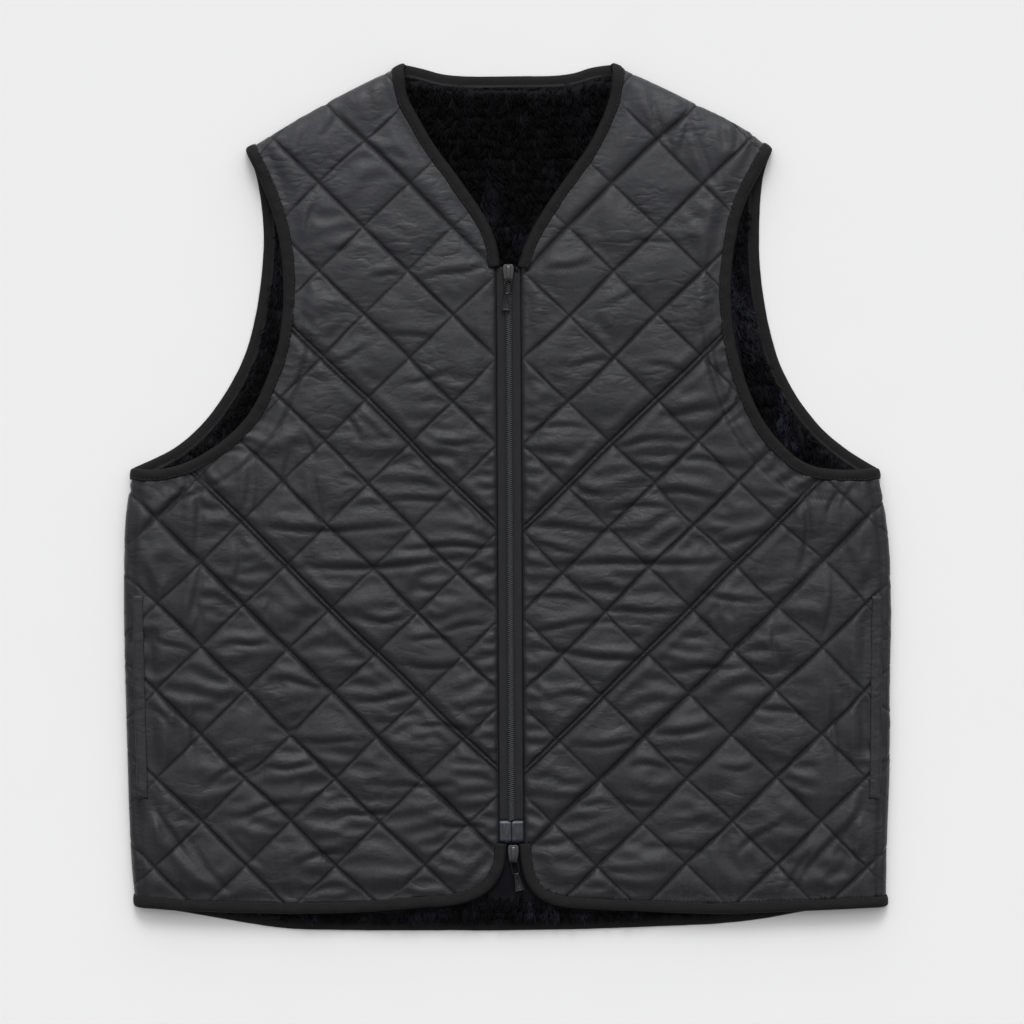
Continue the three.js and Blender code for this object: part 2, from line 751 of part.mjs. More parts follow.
// Half of the zip: its tape, the film that stiffens the tape's end, and its coil.
function zipHalf(side) {
  const from = GAP / 2;
  const to = ZIP.halfWidth - GAP;
  const spanX = side === RIGHT ? [from, to] : [-to, -from];
  const coilX = side === RIGHT ? [from, from + ZIP.coilWidth] : [-from - ZIP.coilWidth, -from];
  const tapeTop = FRONT_LEVEL + ZIP.tape;
  const coilBase = tapeTop + GAP;
  const middle = (coilX[0] + coilX[1]) / 2;
  const coil = [
    ...rectangle(...coilX, coilBase, coilBase + ZIP.coilHeight * 0.6).slice(0, 3),
    new THREE.Vector2(middle, coilBase + ZIP.coilHeight),
    new THREE.Vector2(coilX[0], coilBase + ZIP.coilHeight * 0.6),
  ];
  const tape = bar(rectangle(...spanX, FRONT_LEVEL, tapeTop), ZIP.filmTop + GAP, ZIP.top - GAP);
  const film = bar(rectangle(...spanX, FRONT_LEVEL, tapeTop + GAP), ZIP.bottom, ZIP.filmTop);
  return [
    named("zip_tape_" + side.name, "zip_tape", tape),
    named("zip_film_" + side.name, "zip_film", film),
    named("zip_coil_" + side.name, "zip_coil", bar(coil, ZIP.filmTop + GAP, ZIP.chainTop)),
  ];
}

const outlined = (rows) => rows.map(([x, y]) => new THREE.Vector2(x, y));

// A slider with the rail its pull hangs on. Origin in the middle of its underside.
function sliderGeometry() {
  const half = SLIDER.length / 2;
  const tail = SLIDER.tail / 2 - SLIDER.bevel;
  const wide = SLIDER.shoulder / 2 - SLIDER.bevel;
  const end = half - SLIDER.bevel;
  const plate = outlined([
    [-tail, -end],
    [tail, -end],
    [wide, end * 0.25],
    [wide, end * 0.75],
    [tail, end],
    [-tail, end],
    [-wide, end * 0.75],
    [-wide, end * 0.25],
  ]);
  const body = new THREE.ExtrudeGeometry(new THREE.Shape(plate), {
    depth: SLIDER.height - 2 * SLIDER.bevel,
    bevelThickness: SLIDER.bevel,
    bevelSize: SLIDER.bevel,
    bevelSegments: 1,
  });
  body.translate(0, 0, SLIDER.bevel);
  return toGeometry(toSolid(body).add(toSolid(railGeometry())));
}

// The rail is an arch over the slider's plate, standing on it at both ends.
function railGeometry() {
  const reach = SLIDER.length / 2 - SLIDER.bevel;
  const foot = SLIDER.height - SLIDER.bevel;
  const top = SLIDER.height + RAIL.height;
  const under = SLIDER.height + RAIL.room;
  const inner = reach - RAIL.thickness;
  const arch = outlined([
    [-reach, foot],
    [-inner, foot],
    [-inner, under],
    [inner, under],
    [inner, foot],
    [reach, foot],
    [reach, top - RAIL.thickness / 2],
    [inner, top],
    [-inner, top],
    [-reach, top - RAIL.thickness / 2],
  ]);
  const geometry = new THREE.ExtrudeGeometry(new THREE.Shape(arch), {
    depth: RAIL.width,
    bevelEnabled: false,
  });
  return geometry.translate(0, 0, -RAIL.width / 2).rotateX(Math.PI / 2).rotateZ(Math.PI / 2);
}

// A wire link, its near bar on the hinge axis at the origin and its far bar towards -Y.
function linkGeometry() {
  const wire = LINK.wire;
  const outer = LINK.inner / 2 + wire;
  const link = new THREE.Shape(
    outlined([
      [-outer + wire / 2, wire / 2],
      [-outer, 0],
      [-outer, -LINK.length],
      [-outer + wire / 2, -LINK.length - wire / 2],
      [outer - wire / 2, -LINK.length - wire / 2],
      [outer, -LINK.length],
      [outer, 0],
      [outer - wire / 2, wire / 2],
    ]),
  );
  const inner = rectangle(-LINK.inner / 2, LINK.inner / 2, wire / 2 - LINK.length, -wire / 2);
  link.holes.push(new THREE.Path(inner));
  const geometry = new THREE.ExtrudeGeometry(link, { depth: wire, bevelEnabled: false });
  return geometry.translate(0, 0, -wire / 2);
}

// A flared tab hanging from a knuckle that turns on the link's far bar at the origin.
function tabGeometry() {
  const half = TAB.thickness / 2;
  const plate = outlined([
    [-TAB.top / 2, -TAB.bore],
    [-TAB.bottom / 2, -TAB.length + 1],
    [-TAB.bottom / 2 + 1, -TAB.length],
    [TAB.bottom / 2 - 1, -TAB.length],
    [TAB.bottom / 2, -TAB.length + 1],
    [TAB.top / 2, -TAB.bore],
  ]);
  const flat = new THREE.ExtrudeGeometry(new THREE.Shape(plate), {
    depth: TAB.thickness,
    bevelEnabled: false,
  });
  const round = (radius, width) => {
    const cylinder = new THREE.CylinderGeometry(radius, radius, width, 16);
    return toSolid(cylinder.rotateZ(Math.PI / 2));
  };
  const knuckle = round(TAB.knuckle, TAB.top);
  const bore = round(TAB.bore, 2 * TAB.top);
  return toGeometry(toSolid(flat.translate(0, 0, -half)).add(knuckle).subtract(bore));
}

// A slider at a height on the zip with its pull, the pull leaning and drooping as it hangs.
function sliderWithPull({ name, x, y, base, lean, droop }) {
  const group = new THREE.Group();
  group.position.set(x, y, base);
  const slider = named(name + "_slider", "zip_metal", sliderGeometry());
  const pull = new THREE.Group();
  const axisY = -SLIDER.length / 2 + SLIDER.bevel + RAIL.thickness + LINK.wire / 2 + GAP;
  pull.position.set(0, axisY, SLIDER.height + RAIL.room / 2);
  pull.rotation.set(droop, 0, lean, "ZYX");
  const link = named(name + "_pull_link", "zip_metal", linkGeometry());
  const tab = named(name + "_pull_tab", "zip_metal", tabGeometry());
  tab.position.set(0, -LINK.length, 0);
  tab.rotation.x = -droop;
  pull.add(link, tab);
  group.add(slider, pull);
  return group;
}

const SLIDERS = [
  { name: "upper", x: 0, y: 167, base: FRONT_LEVEL + ZIP.tape + GAP, lean: -0.09, droop: 0.045 },
  { name: "lower", x: 1.3, y: -265.4, base: FRONT_LEVEL, lean: 0.2, droop: 0.12 },
];

function zip() {
  const group = new THREE.Group();
  group.position.x = ZIP.x;
  group.rotation.z = ZIP.lean;
  group.add(...zipHalf(LEFT), ...zipHalf(RIGHT), ...SLIDERS.map(sliderWithPull));
  return group;
}

// ---- The vest ----

function front(half) {
  const name = half.side.name;
  const overFolds = [BINDING_STEP, BINDING_STEP];
  return [
    named("front_" + name, "quilted_shell", frontPanel(half)),
    named("pocket_welt_" + name, "quilted_shell", pocketWelt(half)),
    named("hem_binding_front_" + name, "edge_binding", frontBinding(half, half.frontHem, 0, BINDING_STEP)),
    named("armhole_binding_front_" + name, "edge_binding", frontBinding(half, half.frontArmhole, ...overFolds)),
    named("neck_binding_front_" + name, "edge_binding", frontBinding(half, half.frontNeck, BINDING_STEP, 0)),
  ];
}

const vest = new THREE.Group();
vest.name = "fur_lined_quilted_vest";
vest.add(named("back_shell", "quilted_shell", backShell()));
vest.add(named("back_lining", "fur", furLining()));
vest.add(...backBindings());
vest.add(...HALVES.flatMap(front));
vest.add(zip());

export default vest;
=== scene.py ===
"""Looks of a fur-lined quilted vest that lies flat on its back with the zip closed.

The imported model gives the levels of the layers, the zip's place and the moving pulls. Lengths
are millimetres here, and meshes are made in metres. "left" and "right" are as seen from above,
with the neck away from the viewer.
"""

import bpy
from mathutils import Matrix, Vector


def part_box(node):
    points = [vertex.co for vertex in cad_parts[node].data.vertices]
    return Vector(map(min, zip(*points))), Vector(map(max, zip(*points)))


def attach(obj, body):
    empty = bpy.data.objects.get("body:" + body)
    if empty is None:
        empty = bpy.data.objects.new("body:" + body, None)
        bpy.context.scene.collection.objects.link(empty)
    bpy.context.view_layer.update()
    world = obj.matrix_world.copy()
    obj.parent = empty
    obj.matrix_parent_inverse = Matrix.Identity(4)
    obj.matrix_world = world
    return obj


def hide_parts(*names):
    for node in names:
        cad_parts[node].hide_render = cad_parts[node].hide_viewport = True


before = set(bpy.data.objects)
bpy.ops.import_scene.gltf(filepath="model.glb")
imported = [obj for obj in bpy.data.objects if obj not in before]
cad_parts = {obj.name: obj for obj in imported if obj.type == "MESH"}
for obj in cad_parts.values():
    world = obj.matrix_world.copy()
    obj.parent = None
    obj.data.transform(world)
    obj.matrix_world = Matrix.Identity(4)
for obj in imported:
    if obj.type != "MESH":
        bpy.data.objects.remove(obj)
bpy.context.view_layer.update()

import logging
import math
from contextlib import contextmanager
from dataclasses import dataclass
from enum import Enum
from typing import Callable, Iterator, Sequence

import bpy
import numpy as np
from mathutils import Matrix, Vector

Array = np.ndarray
Colour = tuple[float, float, float]
Material = bpy.types.Material
Piece = bpy.types.Object
Rows = Sequence[Sequence[float]]
Socket = bpy.types.NodeSocket
Values = dict[str, Array] | None

MM = 0.001
SEED = 7
LOG = logging.getLogger("vest")


# ---- Levels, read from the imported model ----


def low(node: str, axis: int = 2) -> float:
    """Lowest coordinate of a CAD node on an axis, in millimetres."""
    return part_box(node)[0][axis] / MM


def high(node: str, axis: int = 2) -> float:
    """Highest coordinate of a CAD node on an axis, in millimetres."""
    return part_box(node)[1][axis] / MM


@dataclass(frozen=True)
class Levels:
    """Heights of the vest's layers above the floor, and the sizes that follow from them."""

    wall: float = high("back_shell")
    lining_bottom: float = low("back_lining")
    lining_top: float = high("back_lining")
    front: float = low("zip_tape_left")
    tape_top: float = high("zip_tape_left")
    coil_bottom: float = low("zip_coil_left")

    @property
    def roll_inside(self) -> float:
        """Radius of the fronts' fold on its inner face."""
        return self.front - self.lining_bottom

    @property
    def roll_outside(self) -> float:
        """Radius of the fronts' fold where a seam presses the cloth down."""
        return self.roll_inside + self.wall


LEVELS = Levels()
BINDING_WIDTH = 8.5
ENDED = 30.0  # added to the distance of an edge past the edge's end
FRONT_WRAP = (4.5, 3.75)  # height of a binding where it wraps an edge, and at its stitched edge
BACK_WRAP = (3.0, 2.75)
STITCH = (2.9, 0.55, 0.3)  # length, width and thickness
STITCH_PITCH = 3.8
QUILTING_PITCH = 3.9
SMOOTH_ANGLE = math.radians(38)
SHARP_ANGLE = math.radians(40)


class Side(Enum):
    """A half of the vest, as seen from above."""

    LEFT = -1
    RIGHT = 1

    @property
    def word(self) -> str:
        """The half's name as it stands in node names."""
        return self.name.lower()

    @property
    def column(self) -> int:
        """The half's column in the tables of the cut."""
        return 1 if self is Side.LEFT else 2


# ---- Noise ----


class Noise:
    """Smooth seeded noise over a plane, from -1 to 1."""

    def __init__(self, seed: int, size: int = 64) -> None:
        """Makes the table of values from a seed; the noise repeats after its size."""
        self.size = size
        self.table = np.random.default_rng(SEED + seed).uniform(-1, 1, (size, size))

    def __call__(self, x: Array, y: Array) -> Array:
        """Noise at points whose unit is one cell of the table.

        Args:
            x: first coordinate.
            y: second coordinate.

        Returns:
            Values of the coordinates' common shape.
        """
        x, y = np.broadcast_arrays(np.asarray(x, float), np.asarray(y, float))
        column, row = np.floor(x).astype(int), np.floor(y).astype(int)
        across, up = x - column, y - row
        across = across**3 * (across * (across * 6 - 15) + 10)
        up = up**3 * (up * (up * 6 - 15) + 10)

        def at(i: int, j: int) -> Array:
            """Values at one corner of the cells."""
            return self.table[(column + i) % self.size, (row + j) % self.size]

        near = at(0, 0) * (1 - across) + at(1, 0) * across
        far = at(0, 1) * (1 - across) + at(1, 1) * across
        return near * (1 - up) + far * up


def bell(distance: Array, width: float) -> Array:
    """A smooth bump of height 1 at distance 0, falling off over a width."""
    return np.exp(-((distance / width) ** 2))


def ease(value: Array, start: float, end: float) -> Array:
    """Rises smoothly from 0 at the start to 1 at the end."""
    t = np.clip((value - start) / (end - start), 0, 1)
    return t * t * (3 - 2 * t)


# ---- Paths in the plan ----


def smooth_path(points: Rows, step: float = 5.0) -> Array:
    """A smooth curve through points, with points evenly along it.

    Args:
        points: corners of the curve, each an x and a y.
        step: distance between two points of the result.

    Returns:
        An array of x and y rows.
    """
    p = np.asarray(points, float)
    padded = np.vstack([p[:1], p, p[-1:]])
    t = np.linspace(0, 1, 25)[:-1, None]
    stretches = []
    for a, b, c, d in zip(padded, padded[1:], padded[2:], padded[3:]):
        start, end = (c - a) / 2, (d - b) / 2
        cubic = (2 * b - 2 * c + start + end) * t**3
        square = (-3 * b + 3 * c - 2 * start - end) * t**2
        stretches.append(cubic + square + start * t + b)
    return resample(np.vstack([*stretches, p[-1:]]), step)


def lengths(points: Array) -> Array:
    """Length along a polyline, at each of its points."""
    return np.concatenate([[0], np.cumsum(np.linalg.norm(np.diff(points, axis=0), axis=1))])


def resample(dense: Array, step: float) -> Array:
    """Points evenly spaced along a polyline."""
    along = lengths(dense)
    places = np.linspace(0, along[-1], max(1, round(along[-1] / step)) + 1)
    return np.column_stack([np.interp(places, along, dense[:, k]) for k in range(2)])


@dataclass
class Path:
    """A line in the plan with the garment on one side of it."""

    points: Array
    turn: int  # 1 where the garment lies to the left of the line's direction

    def normals(self) -> Array:
        """Unit vectors towards the garment at each point."""
        along = np.gradient(self.points, axis=0)
        along /= np.linalg.norm(along, axis=1)[:, None]
        return np.column_stack([-along[:, 1], along[:, 0]]) * self.turn

    def run_on(self, before: float, after: float) -> "Path":
        """The same line, longer by a straight stretch at each end."""
        p = self.points
        start = p[0] + (p[0] - p[1]) / np.linalg.norm(p[0] - p[1]) * before
        end = p[-1] + (p[-1] - p[-2]) / np.linalg.norm(p[-1] - p[-2]) * after
        return Path(np.vstack([[start], p, [end]]), self.turn)

    def nearest(self, at: Array) -> tuple[Array, Array, Array]:
        """Nearest places on the line, whose end stretches run on.

        Args:
            at: points, one a row.

        Returns:
            The feet on the line, the distances (positive on the garment's side) and the unit
            vectors towards the garment at the feet.
        """
        start, along = self.points[:-1], np.diff(self.points, axis=0)
        squared = (along**2).sum(1)
        lowest, highest = np.zeros(len(along)), np.ones(len(along))
        lowest[0], highest[-1] = -np.inf, np.inf
        feet, signed, inward = [], [], []
        for part in np.array_split(at, max(1, len(at) // 4000)):
            share = ((part[:, None] - start) * along).sum(2) / squared
            share = np.clip(share, lowest, highest)
            foot = start + share[..., None] * along
            away = part[:, None] - foot
            best = np.argmin((away**2).sum(2), axis=1)
            rows = np.arange(len(part))
            normal = np.column_stack([-along[best, 1], along[best, 0]]) * self.turn
            normal /= np.linalg.norm(normal, axis=1)[:, None]
            offset = away[rows, best]
            length = np.linalg.norm(offset, axis=1)
            feet.append(foot[rows, best])
            signed.append(np.where((offset * normal).sum(1) < 0, -length, length))
            inward.append(normal)
        return np.vstack(feet), np.concatenate(signed), np.vstack(inward)

    def distance(self, at: Array) -> Array:
        """Signed distances of points from the line."""
        return self.nearest(at)[1]


# ---- The cut: distances from the middle line, for each side ----

# y, left, right
SHOULDER = ((258.7, 195.5, 197.5), (275.6, 167.6, 175.6), (298, 128.5, 131.5), (323.5, 77.5, 78.5))
SIDE_SEAM = (
    (-305.2, 277.4, 282.8), (-260, 281.4, 283.2), (-205, 283.6, 285.2), (-145, 285.2, 285.6),
    (-85, 286.4, 286.4), (-40, 286, 285.2), (-5, 283.8, 280.6), (22.1, 279.4, 275.8),
)
FRONT_ARMHOLE = (
    (22.1, 279.4, 275.8), (20.6, 262, 247), (25.8, 240, 222), (40, 215.5, 204.3), (62, 193, 188),
    (90, 179, 176.5), (120, 169.8, 169.3), (155, 167.1, 166.7), (190, 169.8, 169.6),
    (222, 178.6, 178.4), (258.7, 195.5, 197.5),
)
BACK_ARMHOLE = (
    (22.1, 279.4, 275.8), (37, 249, 252), (58, 225.4, 229), (88, 205, 209), (118, 192.4, 197.8),
    (160, 184.4, 190), (201, 182.4, 188), (238, 187.2, 190.8), (258.7, 195.5, 197.5),
)
FRONT_NECK = (
    (323.5, 77.5, 78.5), (300, 74.8, 76.2), (283, 66.3, 70.4), (263, 54.6, 60.5), (243, 39.9, 46.6),
    (222, 25, 31.8), (203, 13.2, 19.9), (188, 7.7, 12.5), (172, 5.4, 7.2),
)
# x, left, right
BACK_NECK = ((63, 320.2, 321.4), (48, 316.2, 316.8), (30, 314.7, 315.1), (0, 314.9, 314.9))
BACK_HEM = (
    (0, -323.5, -323.5), (60, -323.5, -322.4), (120, -323.3, -320.3), (165, -322, -317.8),
    (200, -317, -313.2), (232, -311.4, -307.6), (262, -307, -306),
)
FRONT_HEM = (
    (62, -305.6, -306.8), (100, -308.6, -308.4), (160, -310.2, -310.2), (240, -308, -307.2),
)
# handles of the rounded hem corner at the zip
HEM_CORNER = {
    Side.LEFT: ((0.5, -258), (0.5, -294), (22, -305)),
    Side.RIGHT: ((8.9, -258), (9.5, -297), (24, -306.5)),
}


def down(side: Side, rows: Rows) -> list[tuple[float, float]]:
    """Plan points of a table whose first column is y."""
    return [(side.value * row[side.column], row[0]) for row in rows]


def across(side: Side, rows: Rows) -> list[tuple[float, float]]:
    """Plan points of a table whose first column is the distance from the middle."""
    return [(side.value * row[0], row[side.column]) for row in rows]


def hem_corner(side: Side) -> list[tuple[float, float]]:
    """Points round the hem's corner at the zip, down to the table of the hem."""
    a, b, c = (np.array([side.value * x, y]) for x, y in HEM_CORNER[side])
    end = np.array(across(side, FRONT_HEM)[0])
    return [
        tuple((1 - t) ** 3 * a + 3 * (1 - t) ** 2 * t * b + 3 * (1 - t) * t**2 * c + t**3 * end)
        for t in np.linspace(0, 1, 7)[:-1]
    ]


@dataclass
class Zip:
    """Where the zip lies: its axis leans by a few millimetres over its length."""

    x: float = 1.6
    lean: float = 0.0055
    half_width: float = 9.4
    top: float = 172.0
    hem_top: float = -258.0
    film_top: float = high("zip_film_left", 1)
    bottom: float = low("zip_film_left", 1)
    chain_top: float = high("zip_coil_left", 1)

    def axis(self, y: Array) -> Array:
        """x of the zip's axis at a height in the plan."""
        return self.x - self.lean * np.asarray(y, float)

    def place(self, points: Array) -> Array:
        """Takes points from the zip's own frame to the vest's.

        Args:
            points: rows of x, y and z.

        Returns:
            Rows of x, y and z.
        """
        turned = np.array(points, float)
        cosine, sine = math.cos(self.lean), math.sin(self.lean)
        turned[:, 0] = self.x + points[:, 0] * cosine - points[:, 1] * sine
        turned[:, 1] = points[:, 0] * sine + points[:, 1] * cosine
        return turned


ZIP = Zip()


@dataclass
class Half:
    """The edges of one half of the vest, running anticlockwise on the right half."""

    side: Side

    def __post_init__(self) -> None:
        """Draws the paths."""
        side = self.side
        hem = [*hem_corner(side), *across(side, FRONT_HEM), *down(side, SIDE_SEAM)[:1]]
        self.side_fold = self.path(down(side, SIDE_SEAM))
        self.shoulder_fold = self.path(down(side, SHOULDER))
        self.front_hem = self.path(hem)
        self.front_armhole = self.path(down(side, FRONT_ARMHOLE))
        self.front_neck = self.path(down(side, FRONT_NECK))
        self.back_armhole = self.path(down(side, BACK_ARMHOLE))

    def path(self, points: Rows) -> Path:
        """A smooth path with this half's garment side."""
        return Path(smooth_path(points), self.side.value)

    def zip_distance(self, at: Array) -> Array:
        """How far points lie from the zip, outwards from the front panel's edge."""
        return self.side.value * (at[:, 0] - ZIP.axis(at[:, 1])) - ZIP.half_width

    def nearest_fold(self, at: Array) -> tuple[Array, Array, Array]:
        """Feet, distances and directions of the nearer fold, at the side or the shoulder."""
        one, other = self.side_fold.nearest(at), self.shoulder_fold.nearest(at)
        first = np.abs(one[1]) < np.abs(other[1])
        return tuple(
            np.where(first[:, None] if a.ndim == 2 else first, a, b) for a, b in zip(one, other)
        )

    def drape(self, at: Array, height: Array) -> Array:
        """Lays points of the front's flat pattern on the vest.

        Near a side or shoulder the cloth turns down through a quarter circle.

        Args:
            at: plan points, one a row.
            height: their heights above the front's inner face.

        Returns:
            Rows of x, y and z.
        """
        height = np.broadcast_to(height, len(at))
        placed = np.column_stack([at, LEVELS.front + height])
        foot, distance, inward = self.nearest_fold(at)
        near = distance < LEVELS.roll_outside
        angle = math.pi / 2 * np.maximum(0, distance[near]) / LEVELS.roll_outside
        radius = LEVELS.roll_inside + height[near]
        reach = LEVELS.roll_outside - radius * np.cos(angle)
        placed[near, :2] = foot[near] + inward[near] * reach[:, None]
        placed[near, 2] = LEVELS.lining_bottom + radius * np.sin(angle)
        return placed


HALVES = {side: Half(side) for side in Side}


def both_ways(rows: Rows) -> list[tuple[float, float]]:
    """A table across both halves, from the far left to the far right."""
    skip = 1 if rows[0][0] == 0 or rows[-1][0] == 0 else 0
    ordered = sorted(rows, key=lambda row: row[0])
    return [*across(Side.LEFT, ordered)[::-1], *across(Side.RIGHT, ordered)[skip:]]


def back_hem() -> Path:
    """The back hem, from left to right."""
    left, right = (down(side, SIDE_SEAM)[0] for side in Side)
    return Path(smooth_path([left, *both_ways(BACK_HEM), right]), 1)


def back_neck() -> Path:
    """The back neck edge, from right to left."""
    left, right = (down(side, FRONT_NECK)[0] for side in Side)
    return Path(smooth_path([right, *both_ways(BACK_NECK)[::-1], left]), 1)


# ---- Meshes ----


def mesh_object(name: str, points: Array, faces: Array, attributes: Values = None) -> Piece:
    """Makes a smooth-shaded object from points in millimetres.

    Args:
        name: the object's name.
        points: rows of x, y and z.
        faces: rows of point numbers, all of one count.
        attributes: numbers at the points, for materials to read.

    Returns:
        The new object, at the origin.
    """
    faces = np.asarray(faces, np.int32)
    mesh = bpy.data.meshes.new(name)
    mesh.vertices.add(len(points))
    mesh.vertices.foreach_set("co", (np.asarray(points, np.float32) * MM).ravel())
    mesh.loops.add(faces.size)
    mesh.loops.foreach_set("vertex_index", faces.ravel())
    mesh.polygons.add(len(faces))
    mesh.polygons.foreach_set("loop_start", np.arange(len(faces), dtype=np.int32) * faces.shape[1])
    mesh.update(calc_edges=True)
    mesh.polygons.foreach_set("use_smooth", np.ones(len(faces), bool))
    for key, values in (attributes or {}).items():
        layer = mesh.attributes.new(key, "FLOAT", "POINT")
        layer.data.foreach_set("value", np.asarray(values, np.float32))
    made = bpy.data.objects.new(name, mesh)
    bpy.context.scene.collection.objects.link(made)
    return made


def used_only(faces: Array, *rows: Array) -> tuple[Array, ...]:
    """Drops points that no face uses, from the faces' numbers and from rows for each point."""
    kept, renumbered = np.unique(faces, return_inverse=True)
    return (renumbered.reshape(faces.shape), *(row[kept] for row in rows))


def border(faces: Array) -> Array:
    """Directed edges that only one quad has, as rows of two point numbers."""
    edges = np.vstack([faces[:, [k, (k + 1) % 4]] for k in range(4)])
    size = int(faces.max()) + 1
    there, back = edges[:, 0] * size + edges[:, 1], edges[:, 1] * size + edges[:, 0]
    return edges[~np.isin(there, back)]


def quads(rows: int, columns: int) -> Array:
    """Quads of a lattice whose points are numbered row by row."""
    index = np.arange(rows * columns).reshape(rows, columns)
    corners = [index[:-1, :-1], index[1:, :-1], index[1:, 1:], index[:-1, 1:]]
    return np.stack(corners, axis=-1).reshape(-1, 4)


def onto_edge(at: Array, room: Callable[[Array], Array], most: float) -> Array:
    """Moves points near the edge of a shape onto it.

    Args:
        at: plan points.
        room: signed distance inside the shape.
        most: how far a point may move in each of three rounds.

    Returns:
        The moved points.
    """
    for _ in range(3):
        here = room(at)
        slope = np.column_stack([room(at + step) - here for step in np.eye(2) * 0.1]) / 0.1
        squared = np.maximum((slope**2).sum(1), 0.25)
        at = at - np.clip(here / squared, -most, most)[:, None] * slope
    return at


def closed_sheet(
    name: str, upper: Array, lower: Array, faces: Array, attributes: Values = None
) -> Piece:
    """A wall of cloth between two layers of points, closed round its edge.

    Args:
        name: the object's name.
        upper: points of the outer face.
        lower: points of the inner face, in the same order.
        faces: quads of the outer face, anticlockwise as seen from outside.
        attributes: numbers at the points of one layer.

    Returns:
        The new object.
    """
    count = len(upper)
    rim = border(faces)
    walls = np.column_stack([rim[:, 0], rim[:, 0] + count, rim[:, 1] + count, rim[:, 1]])
    both = {key: np.concatenate([value, value]) for key, value in (attributes or {}).items()}
    every = np.vstack([faces, faces[:, ::-1] + count, walls])
    return mesh_object(name, np.vstack([upper, lower]), every, both)


def sleeve(rings: int, around: int) -> Array:
    """Triangles between rings of points that are numbered ring by ring."""
    index = np.arange(rings * around).reshape(rings, around)
    nxt = np.roll(index, -1, axis=1)
    sides = np.stack([index[:-1], nxt[:-1], nxt[1:], index[1:]], axis=-1).reshape(-1, 4)
    return np.vstack([sides[:, [0, 1, 2]], sides[:, [0, 2, 3]]])


def tube(name: str, rings: Array, attributes: Values = None) -> Piece:
    """A closed body through rings of points.

    Args:
        name: the object's name.
        rings: an array of rings, each with rows of x, y and z.
        attributes: arrays with one number for each ring's point.

    Returns:
        The new object, its faces pointing out.
    """
    count, around, _ = rings.shape
    end, ring = count * around, np.arange(around)
    nxt = np.roll(ring, -1)
    first = np.column_stack([nxt, ring, np.full(around, end)])
    last = np.column_stack([ring + end - around, nxt + end - around, np.full(around, end + 1)])
    values = {
        key: np.concatenate([value.ravel(), value[0, :1], value[-1, :1]])
        for key, value in (attributes or {}).items()
    }
    points = np.vstack([rings.reshape(-1, 3), rings[[0, -1]].mean(axis=1)])
    made = mesh_object(name, points, np.vstack([sleeve(count, around), first, last]), values)
    turn_outwards(made)
    return made


def turn_outwards(made: Piece) -> None:
    """Turns a closed mesh's faces outwards if they point in."""
    mesh = made.data
    triangles = np.array([p.vertices for p in mesh.polygons])
    points = np.array([v.co for v in mesh.vertices])
    a, b, c = (points[triangles[:, k]] for k in range(3))
    if np.einsum("ij,ij->i", a, np.cross(b, c)).sum() < 0:
        mesh.flip_normals()


def repeated(name: str, model: Piece, places: Array, frames: Array) -> Piece:
    """Joined copies of a small model, which is removed afterwards.

    Args:
        name: the joined object's name.
        model: what is repeated, modelled round the origin in metres.
        places: rows of x, y and z in millimetres, one a copy.
        frames: three unit vectors for each copy, as the columns of a matrix.

    Returns:
        The joined object.
    """
    source = model.data
    points = np.array([v.co for v in source.vertices]) / MM
    faces = [tuple(p.vertices) for p in source.polygons]
    triangles = np.array(
        [(f[0], f[k], f[k + 1]) for f in faces for k in range(1, len(f) - 1)], np.int64
    )
    bpy.data.objects.remove(model)
    every = np.einsum("nij,pj->npi", frames, points) + places[:, None]
    offsets = np.arange(len(places))[:, None, None] * len(points)
    return mesh_object(name, every.reshape(-1, 3), (triangles + offsets).reshape(-1, 3))


def frames_along(directions: Array) -> Array:
    """Upright frames whose x axis points in given directions.

    Args:
        directions: rows of x, y and z.

    Returns:
        One matrix for each row, its columns the frame's axes.
    """
    x = directions / np.linalg.norm(directions, axis=1)[:, None]
    y = np.cross([0.0, 0.0, 1.0], x)
    y /= np.linalg.norm(y, axis=1)[:, None]
    return np.stack([x, y, np.cross(x, y)], axis=-1)


def dressed(
    made: Piece, look: Material, slot: str, node: str | None = None, body: str = "vest"
) -> Piece:
    """Gives a piece its finish and its place in the model, and reports it.

    Args:
        made: the piece.
        look: its material.
        slot: not used.
        node: the CAD node that it replaces, if any.
        body: what it rides on.

    Returns:
        The same piece.
    """
    made.data.materials.clear()
    made.data.materials.append(look)
    if node:
        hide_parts(node)
    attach(made, body)
    LOG.info("%s: %d faces", made.name, len(made.data.polygons))
    return made


# ---- Modelling by operators ----


def deselect() -> None:
    """Leaves nothing selected."""
    if bpy.context.object and bpy.context.object.mode != "OBJECT":
        bpy.ops.object.mode_set(mode="OBJECT")
    bpy.ops.object.select_all(action="DESELECT")


def select_only(made: Piece) -> None:
    """Selects one object and makes it the active one."""
    deselect()
    made.select_set(True)
    bpy.context.view_layer.objects.active = made


def settle(name: str) -> Piece:
    """Names the newest object and applies its place, turn and scale to its mesh."""
    made = bpy.context.object
    made.name = name
    select_only(made)
    bpy.ops.object.transform_apply(location=True, rotation=True, scale=True)
    return made


